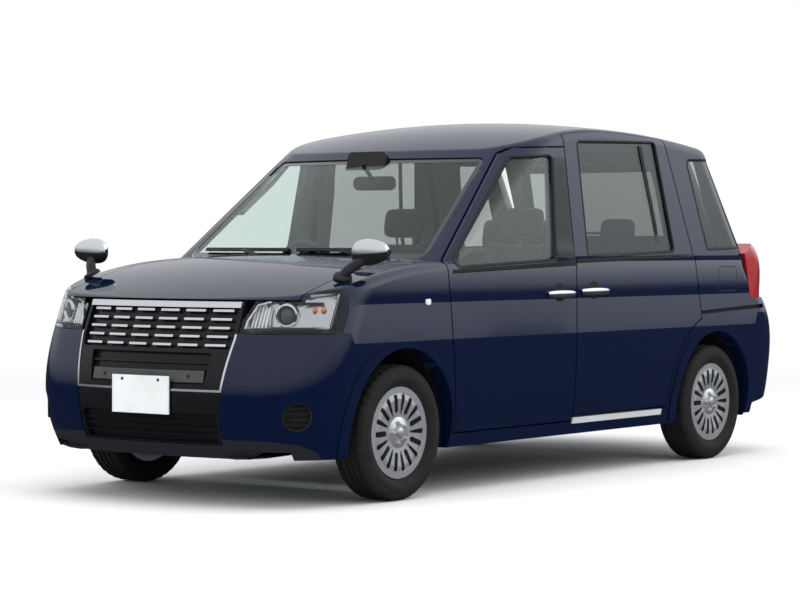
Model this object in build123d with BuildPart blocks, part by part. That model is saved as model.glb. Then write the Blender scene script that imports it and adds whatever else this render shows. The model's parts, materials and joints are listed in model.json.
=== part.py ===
"""Taxi cab: a tall five-door body on four wheels, in millimetres.

+X points forward, +Y to the left and +Z up. The origin is on the ground, under the middle of the car.
"""
from build123d import *
import math
import os

# Running gear
FRONT_AXLE_X = 1400
REAR_AXLE_X = -1350
TYRE_RADIUS = 301
TYRE_WIDTH = 185
RIM_RADIUS = 190
TRACK_HALF = 742
KINGPIN_Y = 650
SPINDLE_RADIUS = 22
STRUT_Y = 595
STRUT_RADIUS = 28

TYRE_ROUND = 12
RIM_HALF = 70
COVER_OUT = 73
HUB_RADIUS = 60
HUB_BACK = -2
SPINDLE_END = 36
SLOT_INNER = 88
SLOT_OUTER = 172
SLOT_COUNT = 9
WIDE_SLOT = 24
THIN_SLOT = 9
ARM_TOP_Z = 215
STRUT_FOOT_Z = 430

# Half section of a tyre, as radius and width
TYRE_SECTION = [
    (RIM_RADIUS, -RIM_HALF + 9.5), (RIM_RADIUS + 16, -RIM_HALF + 7), (RIM_RADIUS + 50, -TYRE_WIDTH / 2),
    (TYRE_RADIUS - 22, -TYRE_WIDTH / 2 + 6), (TYRE_RADIUS, -TYRE_WIDTH / 2 + 24),
    (TYRE_RADIUS, TYRE_WIDTH / 2 - 24), (TYRE_RADIUS - 22, TYRE_WIDTH / 2 - 6),
    (RIM_RADIUS + 50, TYRE_WIDTH / 2), (RIM_RADIUS + 16, RIM_HALF - 7), (RIM_RADIUS, RIM_HALF - 9.5),
]

# Body shell
WALL_SIDE = 70
WALL_NOSE = 60
WALL_TAIL = 120
WALL_CABIN = 45
WALL_TOP = 30
FRAME_DEPTH = 40
DOOR_BACK_GAP = 8
OPENING_LIP = 50
BELT_Z = 1075
FLOOR_TOP_Z = 268
FLOOR_BOTTOM_Z = 245
SILL_INNER_Y = 690
ARCH_RADIUS = 375
HOUSING_WALL = 4
HOUSING_INNER_Y = 466
NOSE_BOW = 2200
TAIL_BOW = 2600
SCREEN_BOW = 2300
GATE_BOW = 2200

# Roof and bonnet crowns
ROOF_TOP_Z = 1750
ROOF_PEAK_X = -350
ROOF_FRONT_RADIUS = 2330
ROOF_REAR_RADIUS = 7600
ROOF_CROSS_RADIUS = 6000
ROOF_EDGE_RADIUS = 55
ROOF_FRONT_REACH = 1700
ROOF_REAR_REACH = 1700
CROWN_SPAN = 24
BONNET_REAR = (960, 1093)
BONNET_MID = (1640, 1024)
BONNET_FRONT = (2110, 872)
BONNET_CROSS_RADIUS = 9000
FENDER_EDGE_RADIUS = 45

# Beyond the body on every side
LOW_X = -2400
LOW_Y = 1000

# Floor and engine bay
FLOOR_HALF = 645.6
FIREWALL_X = 1010
FIREWALL_TOP_Z = 1030
PLATE = 25
STEP_X = -930
LOAD_FLOOR_Z = 520
LOAD_REAR_X = -1950
RAIL_Y = 415
RAIL_WIDTH = 70
RAIL_HEIGHT = 90
RAIL_Z = 420
RAIL_FRONT_X = 2030
RAIL_BEAM_HALF = 560
HOUSING_OUTER_Y = 770
HOUSING_LOW_Z = 215
AXLE_HOLE = 75
ENGINE_X = 1400
ENGINE_HALF = 340
STRUT_TOP_Z = 666.5
STRUT_CAP = 16
STRUT_CAP_OVER = 30
ARM_HALF = 45
ARM_THICKNESS = 30
ARM_INNER = 60
ARM_OUTER = 20
ARM_MOUNT_HALF = 40
BEAM_RADIUS = 35
BEAM_HEIGHT = 60
TRAIL_Y = 420
TRAIL_WIDTH = 50
SPRING_OFFSET = 40
ENGINE_LENGTH_HALF = 230
ENGINE_LOW_Z = 300
ENGINE_HIGH_Z = 800
ENGINE_MOUNT_HALF = 60
ENGINE_MOUNT_HEIGHT = 20
TANK_X = -1620
TANK_Z = 385
TANK_RADIUS = 105
TANK_HALF = 380
TANK_ROUND = 40
TANK_STRAP_Y = 220
TANK_STRAP_LOW_Z = 470
TANK_STRAP = (60, 40)
PIPE_Y = -180
PIPE_TAIL_Y = -330
PIPE_Z = 215
PIPE_RADIUS = 24
PIPE_BEND = 60
PIPE_FRONT_X = 1150
PIPE_TURN_X = (-880, -1010)
PIPE_TAIL_X = -1780
SILENCER_LENGTH = 480
SILENCER_HALVES = (70, 29)
PIPE_HANGERS_X = (900, -700)
PIPE_HANGER = (30, 12)
KNUCKLE_RADIUS = 55
KNUCKLE_INNER = 25
KNUCKLE_OUTER = 15
KNUCKLE_POST = 5
KNUCKLE_HALF = 22
KNUCKLE_PAD = 25
KNUCKLE_CLEAR = 0.5
HUB_CLEAR = 3
STEER_ARM_REACH = (120, 20)
STEER_ARM_DROP = (50, 30)

# Cabin
DASH_HALF = 690
DASH_REAR_ROUND = 30
COLUMN_RADIUS = 32
COLUMN_TOP = (560, -370, 965)
COLUMN_DIR = (-0.906, 0, 0.423)
COLUMN_LENGTH = 260
STEER_RADIUS = 180
STEER_RIM = 15
STEER_RIM_RISE = 22
STEER_HUB = (52, 40)
STEER_SPOKE = (150, 34, 14)
STEER_SPOKE_MIDDLE = 95
STEER_SPOKE_RISE = 12
SEAT_LOW_Z = 470
SEAT_WIDTH = 500
SEAT_Y = 370
SEAT_ROUND = 28
HEADREST_WIDTH = 260
HEADREST_ROUND = 25
HEADREST_POSTS = (-60, 45)
HEADREST_POST = 15
FRONT_SEAT_X = 160
PLINTH_REAR = 240
PLINTH_FRONT = 220
PLINTH_HALF = 180
BENCH_HALF = 600
BENCH_BASE_HALF = 560
BENCH_CUSHION_X = (-965, -500)
BENCH_CUSHION_Z = 650
BENCH_BASE_X = (-810, -530)
BENCH_BASE_Z = 580
BENCH_HEADRESTS_Y = (-380, 0, 380)
BENCH_HEADREST_HALF = 110
BENCH_HEADREST_X = (-1150, -1070)
BENCH_HEADREST_Z = (1100, 1270)

# Outside fittings
HANDLE_Y = 846.2
HANDLE_DEPTH = 24
HANDLE_HEIGHT = 25
HANDLE_FOOT = 26
HANDLE_ROUND = 6
HANDLE_FOOT_HALF = 9
HANDLE_FOOT_SINK = 20
MIRROR_CENTRE = (1630, 830, 1095)
MIRROR_FOOT = (1722, 745, 990)
MIRROR_DEPTH = 100
MIRROR_WIDTH = 195
MIRROR_HEIGHT = 125
MIRROR_ROUND = 32
MIRROR_STEM = (38, 20)
MIRROR_STEM_SHORT = 20

# Where panels meet
SIDE_SEAM_Y = 646
FRONT_DOOR_INNER_Y = 650
REAR_DOOR_INNER_Y = 748
BONNET_HALF = 692
BONNET_LIP_HALF = 500
BONNET_LIP_Z = 890
BONNET_CORNER_X = 1960
BONNET_REAR_X = 1235
BONNET_REAR_SIDE_X = 1100
SWING_ROOM_X = (700, 1200)
SWING_ROOM_Z = (995, 1290)
GATE_TOP_X = -1420
GATE_HINGE_Y = 320
HINGE_X = 1102
HINGE_Y = 610
HINGE_LOW_Z = 1000
HINGE_HALF = 20
HINGE_LENGTH = 70
HINGE_FOOT = (16, 45)
GATE_POST_X = (-40, 10, 60)
GATE_POST_HALF = 20
GATE_POST_DROP = (175, 100)
ROOF_LOW_Z = 1480
COWL_X = (880, 1300)
COWL_Z = (940, 1110)
BONNET_CUT = 80
BONNET_CLEAR = 5
SIDE_CORNER = 20
SCREEN_CORNER = 40
BUMPER_GAP = 2
LAMP_GAP = 1
LAMP_REAR_X = 1788
RECESS_FRONT_X = 2060
RECESS_REAR_X = -1950
TAIL_LAMP_INNER_Y = 646
CREASE_FRONT_X = 1070
CREASE_REAR_X = -1712
CREASE_DEPTH = 4.5
FOG_CENTRE = (2020, 735, 400)
FOG_TURN = 44
FOG_RADIUS = 64
FOG_DEPTH = 34
FOG_RIM = 8
FOG_FINS = (-36, -12, 12, 36)
FLARE_RADIUS = 436
FLARE_OUT = 7
FLARE_LOW_Z = 222
STRIP_FRONT_X = 8
STRIP_REAR_X = -826
STRIP_LOW_Z = 262
STRIP_HIGH_Z = 291
STRIP_OUT = 8
RAIL_SLOT_DEPTH = 822
PANEL_DEPTH = 5
GRILLE_DEPTH = 28
GRILLE_WALL = 12
NOSE_STOCK_X = 1700
DASH_ROWS = 5
DASH_COLUMNS = 6
DASH_SPAN = 425
DASH_SPACE = 38
DASH_LOW_Z = 692
DASH_PITCH = 37
DASH_HEIGHT = 10
DASH_DEPTH = 12
DASH_BACK = 20
TRIM_WIDTH = 10
TOP_BAR_HEIGHT = 26
TRIM_TOP_Z = 746
BOSS_Y = 100
BOSS_HALF = 15
BOSS_Z = (420, 480)
TOP_BAR_HALF = 440
TOP_BAR_Z = 884
WINDOW_ROUND = 12
FIN_HALF = 4
FACE_OVERLAP = 1
PLATE_BACK_X = 2191.7
PLATE_THICKNESS = 6.6
PLATE_WIDTH = 330
PLATE_HEIGHT = 165
PLATE_Z = 479

# Gaps
DOOR_GAP = 7.5
LID_GAP = 6
SEAM = 0.8
SEAT = 0.3

# Glass
GLASS_DEPTH = 9
GLASS_THICKNESS = 5
GLASS_SEAT = 0.6

# Plan outlines of the lower body: height, nose x, tail x, half width, front corner, rear corner
LOWER_LEVELS = [
    (210, 2120, -2130, 800, 300, 225),
    (351, 2178, -2178, 828, 320, 235),
    (520, 2188, -2194, 843, 320, 235),
    (725, 2136, -2180, 847, 320, 240),
    (874, 2078, -2072, 846, 330, 245),
    (1160, 1965, -1960, 841, 340, 210),
]

# Plan outlines of the cabin: height, screen x, tail glass x, half width, front corner, rear corner
CABIN_LEVELS = [
    (1000, 1282, -1933, 842, 110, 185),
    (1770, 272, -1475, 750, 380, 185),
]

# Plan outlines of the tail lamps, which stand proud of the rear corners
TAIL_LAMP_LEVELS = [
    (840, 2090, -2094, 847, 330, 280),
    (1000, 2030, -2040, 849, 335, 172),
    (1090, 1990, -2000, 848, 335, 165),
    (1150, 1965, -1930, 842, 340, 190),
]

# Side outlines, as x and z
FRONT_DOOR = [(992, 275), (1066, 926), (1082, 1035), (415, 1566), (345, 1594), (10, 1606), (10, 275)]
FRONT_WINDOW = [(1042, 1030), (388, 1546), (130, 1556), (185, 1062)]
REAR_DOOR_TOP = [(10, 300), (10, 1697), (-931, 1704), (-1123, 1093), (-1196, 745)]
REAR_DOOR_ARCH_RADIUS = 470
REAR_OPENING = [(-45, 330), (-45, 1655), (-880, 1665), (-1070, 1110), (-1120, 830), (-830, 560), (-820, 330)]
REAR_WINDOW = [(-115, 1079), (-115, 1632), (-843, 1651), (-936, 1099)]
QUARTER_WINDOW = [(-1156, 1570), (-1440, 1577), (-1683, 1122), (-1286, 1110)]
FENDER_SIDE = [(975, 200), (992, 275), (1066, 926), (1082, 1040), (1100, 1075), (1100, 1200), (2400, 1200),
               (2400, 200)]
FRONT_BUMPER_SIDE = [(1722, 150), (1722, 600), (1788, 747.4), (2400, 747.4), (2400, 150)]
REAR_BUMPER_SIDE = [(-1712, 150), (-1712, 560), (-1800, 765), (-2400, 765), (-2400, 150)]
UNDER_TAIL = [(-1726, 150), (-1726, 262), (-1990, 306), (-2400, 352), (-2400, 150)]
TAIL_LAMP_SIDE = [(-1650, 1085), (-1717, 846), (-2400, 846), (-2400, 1138), (-1750, 1138)]
RAIL_SLOT = [(-1190, 768), (-1870, 790), (-1870, 812), (-1190, 786)]

# Sections of the seats, as x and z
SEAT_SECTION = [(420, 470), (440, 600), (-20, 580), (-170, 1120), (-280, 1120), (-140, 470)]
HEADREST_SECTION = [(-170, 1160), (-190, 1320), (-270, 1320), (-270, 1160)]
HEADREST_POST_X = (-240, -210)
HEADREST_POST_Z = (1090, 1180)
BENCH_SECTION = [(-870, 560), (-1060, 1120), (-1160, 1120), (-1045, 690), (-965, 690), (-965, 560)]

# The dashboard's section, as x and z
DASH_FRONT_X = FIREWALL_X - PLATE - SEAT
DASH_ROUND_X = 950
DASH_SECTION = [(DASH_FRONT_X, 620), (DASH_FRONT_X, 1010), (900, 1035), (720, 975), (690, 900), (730, 760),
                (850, 620)]

# Front and rear outlines, as y and z
SCREEN = [(-715, 1066), (715, 1066), (625, 1545), (-625, 1545)]
GATE = [(-640, 768), (640, 768), (640, 1120), (565, 1800), (-565, 1800), (-640, 1120)]
GATE_WINDOW = [(-585, 1150), (585, 1150), (500, 1560), (-500, 1560)]
LAMP = [(462, 748), (464, 802), (505, 888), (640, 925), (830, 938), (830, 756)]
FACE = [(-448, 884), (448, 884), (454, 728), (421, 498), (402, 268), (-402, 268), (-421, 498), (-454, 728)]
GRILLE = [(-448, 884), (448, 884), (454, 728), (421, 498), (-421, 498), (-454, 728)]
DASH_FIELD = [(-432, 862), (432, 862), (436, 728), (424, 680), (-424, 680), (-436, 728)]
UPPER_INTAKE = [(-350, 664), (350, 664), (332, 530), (-332, 530)]
LOWER_INTAKE = [(-390, 404), (390, 404), (382, 278), (-382, 278)]

# Bars across the face: low edge, high edge, half length, depth behind the skin
FACE_BARS = [
    (692, 702, 424, 21),
    (729, 739, 430, 21),
    (766, 776, 430, 21),
    (803, 813, 428, 21),
    (840, 850, 426, 21),
    (617, 625, 340, 14),
    (534, 590, 326, 10),
    (364, 370, 386, 12),
    (336, 342, 385, 12),
    (308, 314, 384, 12),
]

# The side's crease, as y and z: it is cut in below the line and fades out towards the front
CREASE_SECTION = [(841.5, 903), (860, 910), (860, 770), (847.2, 772)]


def level_outline(level, front_bow, rear_bow, inset):
    """A closed plan outline: bowed nose and tail, round corners and straight sides."""
    height, nose, tail, half, front_corner, rear_corner = level
    nose_inset, tail_inset, side_inset = inset
    nose -= nose_inset
    tail += tail_inset
    half -= side_inset
    front_corner -= side_inset
    rear_corner -= side_inset
    front_turn = math.degrees(math.asin((half - front_corner) / (front_bow - front_corner)))
    rear_turn = math.degrees(math.asin((half - rear_corner) / (rear_bow - rear_corner)))
    front_x = nose - front_bow + (front_bow - front_corner) * math.cos(math.radians(front_turn))
    rear_x = tail + rear_bow - (rear_bow - rear_corner) * math.cos(math.radians(rear_turn))
    with BuildSketch(Plane.XY.offset(height)) as outline:
        with BuildLine():
            CenterArc((nose - front_bow, 0), front_bow, -front_turn, 2 * front_turn)
            CenterArc((front_x, half - front_corner), front_corner, front_turn, 90 - front_turn)
            Line((front_x, half), (rear_x, half))
            CenterArc((rear_x, half - rear_corner), rear_corner, 90, 90 - rear_turn)
            CenterArc((tail + rear_bow, 0), rear_bow, 180 - rear_turn, 2 * rear_turn)
            CenterArc((rear_x, rear_corner - half), rear_corner, 180 + rear_turn, 90 - rear_turn)
            Line((rear_x, -half), (front_x, -half))
            CenterArc((front_x, front_corner - half), front_corner, 270, 90 - front_turn)
        make_face()
    return outline.sketch


def lofted(levels, front_bow, rear_bow, inset=(0, 0, 0), ruled=False):
    """A solid through the plan outlines of the levels."""
    with BuildPart() as hull:
        for level in levels:
            add(level_outline(level, front_bow, rear_bow, inset))
        loft(ruled=ruled)
    return hull.part


def side_prism(points, y_from, y_to, grow=0, corner=0, arch=None):
    """A side outline pushed across from one y to another, with an optional round cut at an arch."""
    with BuildPart() as prism:
        with BuildSketch(Plane.XZ.offset(-y_to)) as outline:
            with BuildLine():
                Polyline(points, close=True)
            make_face()
            if corner:
                fillet(outline.vertices(), corner)
            if arch:
                with Locations((arch[0], TYRE_RADIUS)):
                    Circle(arch[1], mode=Mode.SUBTRACT)
            if grow:
                offset(amount=grow)
        extrude(amount=y_to - y_from)
    return prism.part


def front_prism(points, x_from, x_to, grow=0, corner=0):
    """A front outline, as y and z, pushed from one x to another."""
    with BuildPart() as prism:
        with BuildSketch(Plane.YZ.offset(x_from)) as outline:
            with BuildLine():
                Polyline(points, close=True)
            make_face()
            if corner:
                fillet(outline.vertices(), corner)
            if grow:
                offset(amount=grow)
        extrude(amount=x_to - x_from)
    return prism.part


def block(x_from, x_to, y_from, y_to, z_from, z_to):
    """A plain box between two corners."""
    with BuildPart() as box:
        with Locations(((x_from + x_to) / 2, (y_from + y_to) / 2, (z_from + z_to) / 2)):
            Box(x_to - x_from, y_to - y_from, z_to - z_from)
    return box.part


def cross_rod(x, z, radius, y_from, y_to):
    """A round bar along Y."""
    with BuildPart() as rod:
        with BuildSketch(Plane.XZ.offset(-y_to)):
            with Locations((x, z)):
                Circle(radius)
        extrude(amount=y_to - y_from)
    return rod.part


def under_crown(arcs, cross_radius, low_z, drop=0):
    """Everything below a crowned surface: side arcs of x and z, spun about a deep axis along X."""
    axis_z = max(z for arc in arcs for x, z in arc) - cross_radius
    tilt = math.radians(CROWN_SPAN / 2)
    start = Plane(origin=(0, 0, axis_z), x_dir=(1, 0, 0), z_dir=(0, -math.cos(tilt), math.sin(tilt)))
    lines = [[(x, z - drop - axis_z) for x, z in arc] for arc in arcs]
    first, last = lines[0][0], lines[-1][-1]
    with BuildPart() as solid:
        with BuildSketch(start):
            with BuildLine():
                for line in lines:
                    ThreePointArc(*line)
                Polyline(last, (last[0], low_z - axis_z), (first[0], low_z - axis_z), first)
            make_face()
        revolve(axis=Axis((0, 0, axis_z), (1, 0, 0)), revolution_arc=CROWN_SPAN)
    return solid.part


def roof_point(dx, radius):
    """A point of the roof's centre line, at a distance from its peak."""
    return (ROOF_PEAK_X + dx, ROOF_TOP_Z - radius + math.sqrt(radius**2 - dx**2))


ROOF_ARCS = [
    [roof_point(ROOF_FRONT_REACH, ROOF_FRONT_RADIUS), roof_point(ROOF_FRONT_REACH / 2, ROOF_FRONT_RADIUS),
     (ROOF_PEAK_X, ROOF_TOP_Z)],
    [(ROOF_PEAK_X, ROOF_TOP_Z), roof_point(-ROOF_REAR_REACH / 2, ROOF_REAR_RADIUS),
     roof_point(-ROOF_REAR_REACH, ROOF_REAR_RADIUS)],
]
BONNET_ARCS = [[BONNET_FRONT, BONNET_MID, BONNET_REAR]]


def lower_hull(inset, drop, edge_radius=0):
    """The lower body: level outlines under the bonnet's crown in front and under the belt behind."""
    with BuildPart() as hull:
        add(lofted(LOWER_LEVELS, NOSE_BOW, TAIL_BOW, inset))
    with BuildPart() as lid:
        add(under_crown(BONNET_ARCS, BONNET_CROSS_RADIUS, 0, drop))
        add(block(BONNET_FRONT[0] - 60, -LOW_X, -LOW_Y, LOW_Y, 0, BONNET_FRONT[1] - 12))
    with BuildPart() as body:
        add(hull.part)
        add(lid.part, mode=Mode.INTERSECT)
        if edge_radius:
            tops = body.edges().filter_by(lambda edge: edge.center().Z > 905)
            sides = tops.filter_by(lambda edge: abs(edge.center().Y) > 600)
            fillet(sides.filter_by(lambda edge: edge.center().X > 1000), edge_radius)
        with BuildPart(mode=Mode.PRIVATE) as rear:
            add(hull.part)
            add(block(LOW_X, BONNET_REAR[0] + 1, -LOW_Y, LOW_Y, 0, BELT_Z), mode=Mode.INTERSECT)
        add(rear.part)
    return body.part


def cabin_hull(inset, drop, edge_radius=0):
    """The cabin: straight raked sides, screen and tail glass under the roof's crown."""
    with BuildPart() as hull:
        add(lofted(CABIN_LEVELS, SCREEN_BOW, GATE_BOW, (inset, inset, inset), ruled=True))
        add(under_crown(ROOF_ARCS, ROOF_CROSS_RADIUS, 0, drop), mode=Mode.INTERSECT)
        if edge_radius:
            tops = hull.edges().filter_by(lambda edge: edge.center().Z > 1500)
            fillet(tops.filter_by(lambda edge: abs(edge.center().X - ROOF_PEAK_X) > 1), edge_radius)
    return hull.part


def both_sides(solid):
    """A left solid and its mirror image on the right."""
    return [solid, solid.mirror(Plane.XZ)]


def body_hull(depth, edge_fender=0, edge_roof=0):
    """The whole body, taken in by a depth from its outer skin and then cut flat at the floor."""
    with BuildPart() as body:
        if depth:
            more = depth - WALL_SIDE
            add(lower_hull((WALL_NOSE + more, WALL_TAIL + more, depth), WALL_TOP + more))
            add(block(LOW_X, -LOW_X, -LOW_Y, LOW_Y, 0, FLOOR_TOP_Z), mode=Mode.SUBTRACT)
            add(cabin_hull(WALL_CABIN + more, WALL_CABIN + more))
        else:
            add(lower_hull((0, 0, 0), 0, edge_fender))
            add(cabin_hull(0, 0, edge_roof))
    return body.part


def crease_cut():
    """The wedge that the left side's crease takes off, down to nothing at its front end."""
    with BuildPart() as wedge:
        for x, rise in ((CREASE_FRONT_X, CREASE_DEPTH), (CREASE_REAR_X, 0)):
            with BuildSketch(Plane.YZ.offset(x)):
                with BuildLine():
                    Polyline([(y + rise, z) for y, z in CREASE_SECTION], close=True)
                make_face()
        loft(ruled=True)
    return wedge.part


with BuildPart() as whole_body:
    add(body_hull(0, FENDER_EDGE_RADIUS, ROOF_EDGE_RADIUS))
    for wedge in both_sides(crease_cut()):
        add(wedge, mode=Mode.SUBTRACT)
    add(side_prism(UNDER_TAIL, -LOW_Y, LOW_Y), mode=Mode.SUBTRACT)

outer_hull = whole_body.part
panel_back = body_hull(WALL_SIDE)
pocket_back = body_hull(WALL_SIDE + DOOR_BACK_GAP)
cabin_space = body_hull(WALL_SIDE + DOOR_BACK_GAP + FRAME_DEPTH)


def wheel_arches():
    """The room round all four wheels."""
    arches = []
    for axle_x in (FRONT_AXLE_X, REAR_AXLE_X):
        inner_y = HOUSING_INNER_Y - HOUSING_WALL
        arches += both_sides(cross_rod(axle_x, TYRE_RADIUS, ARCH_RADIUS, inner_y, LOW_Y))
    return arches


def hollowed(inside):
    """The body's wall down to an inner hull, open under the floor and at the wheel arches."""
    with BuildPart() as wall:
        add(outer_hull)
        add(inside, mode=Mode.SUBTRACT)
        add(block(RECESS_REAR_X, RECESS_FRONT_X, -SILL_INNER_Y, SILL_INNER_Y, 0, FLOOR_BOTTOM_Z),
            mode=Mode.SUBTRACT)
        for arch in wheel_arches():
            add(arch, mode=Mode.SUBTRACT)
    return wall.part


skin = hollowed(panel_back)
frame_wall = hollowed(cabin_space)


def bonnet_region(grow):
    """The bonnet's plan: a rear edge bowed like the screen, and corners cut for the lamps."""
    rear_corner = (BONNET_REAR_SIDE_X, BONNET_HALF)
    left_edge = [(BONNET_CORNER_X, BONNET_HALF), (BONNET_CORNER_X + BONNET_CUT, BONNET_LIP_HALF),
                 (-LOW_X, BONNET_LIP_HALF)]
    right_edge = [(x, -y) for x, y in reversed(left_edge)]
    other_corner = (BONNET_REAR_SIDE_X, -BONNET_HALF)
    with BuildPart() as region:
        with BuildSketch(Plane.XY.offset(BONNET_LIP_Z - grow)):
            with BuildLine():
                ThreePointArc(other_corner, (BONNET_REAR_X, 0), rear_corner)
                Polyline(rear_corner, *left_edge, *right_edge, other_corner)
            make_face()
            offset(amount=grow)
        extrude(amount=ROOF_TOP_Z)
    return region.part


def gate_region(grow):
    """The tailgate: a rear outline behind the hinge line in the roof."""
    return front_prism(GATE, LOW_X, GATE_TOP_X + grow, grow)


def rear_door_region(grow):
    """The rear door's side outline, round at the wheel arch."""
    points = REAR_DOOR_TOP + [(REAR_DOOR_TOP[-1][0], REAR_DOOR_TOP[0][1])]
    inner_y = REAR_DOOR_INNER_Y - max(grow, 0)
    return side_prism(points, inner_y, LOW_Y, grow, 0, (REAR_AXLE_X, REAR_DOOR_ARCH_RADIUS))


def front_door_region(grow, inner_y=FRONT_DOOR_INNER_Y):
    """The front door's side outline."""
    return side_prism(FRONT_DOOR, inner_y, LOW_Y, grow)


def door_pocket(region):
    """The room that a shut door takes in the body's wall."""
    with BuildPart() as pocket:
        add(region)
        add(pocket_back, mode=Mode.SUBTRACT)
    return pocket.part


def lamp_region(grow):
    """The headlamp's front outline, from its rear tip forward."""
    return front_prism(LAMP, LAMP_REAR_X - grow, -LOW_X, grow)


def tail_lamp_region(grow):
    """The tail lamp's side outline, on the corner."""
    return side_prism(TAIL_LAMP_SIDE, TAIL_LAMP_INNER_Y - grow, LOW_Y, grow)


half_door = DOOR_GAP / 2
half_lid = LID_GAP / 2
half_seam = SEAM / 2

left_half = block(LOW_X, -LOW_X, SIDE_SEAM_Y + half_seam, LOW_Y, 0, 2 * ROOF_TOP_Z)

with BuildPart() as left_fender:
    add(skin)
    add(left_half, mode=Mode.INTERSECT)
    add(side_prism(FENDER_SIDE, 0, LOW_Y, -half_door), mode=Mode.INTERSECT)
    add(bonnet_region(half_lid), mode=Mode.SUBTRACT)
    add(lamp_region(LAMP_GAP), mode=Mode.SUBTRACT)
    add(side_prism(FRONT_BUMPER_SIDE, 0, LOW_Y, BUMPER_GAP), mode=Mode.SUBTRACT)

with BuildPart() as left_front_door:
    add(skin)
    add(front_door_region(-half_door), mode=Mode.INTERSECT)
    add(side_prism(FRONT_WINDOW, 0, LOW_Y, 0, SIDE_CORNER), mode=Mode.SUBTRACT)

with BuildPart() as sliding_door:
    add(skin)
    add(rear_door_region(-half_door), mode=Mode.INTERSECT)
    add(side_prism(REAR_WINDOW, 0, LOW_Y, 0, SIDE_CORNER), mode=Mode.SUBTRACT)

# The front door's frame turns in round the windscreen post, which is cut back where it swings past
with BuildPart() as swing_room:
    add(front_door_region(half_door, 0))
    add(block(*SWING_ROOM_X, 0, LOW_Y, *SWING_ROOM_Z), mode=Mode.INTERSECT)

with BuildPart() as body_side:
    add(frame_wall)
    add(left_half, mode=Mode.INTERSECT)
    add(side_prism(FENDER_SIDE, 0, LOW_Y, half_door), mode=Mode.SUBTRACT)
    add(door_pocket(front_door_region(half_door, 0)), mode=Mode.SUBTRACT)
    add(door_pocket(rear_door_region(half_door)), mode=Mode.SUBTRACT)
    add(front_door_region(-OPENING_LIP, 0), mode=Mode.SUBTRACT)
    add(swing_room.part, mode=Mode.SUBTRACT)
    add(side_prism(REAR_OPENING, 0, LOW_Y), mode=Mode.SUBTRACT)
    add(gate_region(half_lid), mode=Mode.SUBTRACT)
    add(tail_lamp_region(SEAM), mode=Mode.SUBTRACT)
    add(side_prism(REAR_BUMPER_SIDE, 0, LOW_Y, BUMPER_GAP), mode=Mode.SUBTRACT)
    add(side_prism(QUARTER_WINDOW, 0, LOW_Y, 0, SIDE_CORNER), mode=Mode.SUBTRACT)
    add(front_prism(SCREEN, 0, -LOW_X, 0, SCREEN_CORNER), mode=Mode.SUBTRACT)

# The left side also has the slot for the sliding door's middle rail
with BuildPart() as left_body_side:
    add(body_side.part)
    add(side_prism(RAIL_SLOT, RAIL_SLOT_DEPTH, LOW_Y), mode=Mode.SUBTRACT)

with BuildPart() as gate_posts:
    rear, middle, front = [GATE_TOP_X + reach for reach in GATE_POST_X]
    foot_z, cap_z = [ROOF_TOP_Z - drop for drop in GATE_POST_DROP]
    spans = [(y - GATE_POST_HALF, y + GATE_POST_HALF) for y in (-GATE_HINGE_Y, GATE_HINGE_Y)]
    for span in spans:
        add(block(rear, front, *span, foot_z, ROOF_TOP_Z))
    add(under_crown(ROOF_ARCS, ROOF_CROSS_RADIUS, 0, WALL_CABIN + SEAT), mode=Mode.INTERSECT)
    for span in spans:
        add(block(middle, front, *span, foot_z, cap_z))

with BuildPart() as roof_panel:
    add(skin)
    add(block(GATE_TOP_X + half_lid, -LOW_X, half_seam - SIDE_SEAM_Y, SIDE_SEAM_Y - half_seam, ROOF_LOW_Z,
              2 * ROOF_TOP_Z), mode=Mode.INTERSECT)
    add(front_prism(SCREEN, 0, -LOW_X, 0, SCREEN_CORNER), mode=Mode.SUBTRACT)
    add(gate_region(half_lid), mode=Mode.SUBTRACT)
    add(gate_posts.part)

with BuildPart() as tailgate:
    add(skin)
    add(gate_region(-half_lid), mode=Mode.INTERSECT)
    add(front_prism(GATE_WINDOW, LOW_X, 0, 0, SCREEN_CORNER), mode=Mode.SUBTRACT)

with BuildPart() as bonnet:
    add(skin)
    add(bonnet_region(-half_lid), mode=Mode.INTERSECT)
    add(cabin_hull(-BONNET_CLEAR, 0), mode=Mode.SUBTRACT)

with BuildPart() as hinge_posts:
    spans = [(y - HINGE_HALF, y + HINGE_HALF) for y in (-HINGE_Y, HINGE_Y)]
    for span in spans:
        add(block(HINGE_X, HINGE_X + HINGE_LENGTH, *span, HINGE_LOW_Z, BELT_Z))
    add(under_crown(BONNET_ARCS, BONNET_CROSS_RADIUS, 0, WALL_TOP + SEAT), mode=Mode.INTERSECT)
    for span in spans:
        add(block(HINGE_X, HINGE_X + HINGE_FOOT[0], *span, HINGE_LOW_Z, HINGE_LOW_Z + HINGE_FOOT[1]))

with BuildPart() as cowl:
    add(skin)
    add(block(*COWL_X, half_seam - SIDE_SEAM_Y, SIDE_SEAM_Y - half_seam, *COWL_Z), mode=Mode.INTERSECT)
    add(bonnet_region(half_lid), mode=Mode.SUBTRACT)
    add(front_prism(SCREEN, 0, -LOW_X, 0, SCREEN_CORNER), mode=Mode.SUBTRACT)
    add(hinge_posts.part)


def fog_rod(radius, low, high):
    """A round bar on the left fog lamp's axis, between two heights over the bumper's skin."""
    turn = math.radians(FOG_TURN)
    lamp_plane = Plane(origin=FOG_CENTRE, x_dir=(0, 0, 1), z_dir=(math.cos(turn), math.sin(turn), 0))
    with BuildPart() as rod:
        with BuildSketch(lamp_plane.offset(low)):
            Circle(radius)
        extrude(amount=high - low)
    return rod.part


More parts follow.
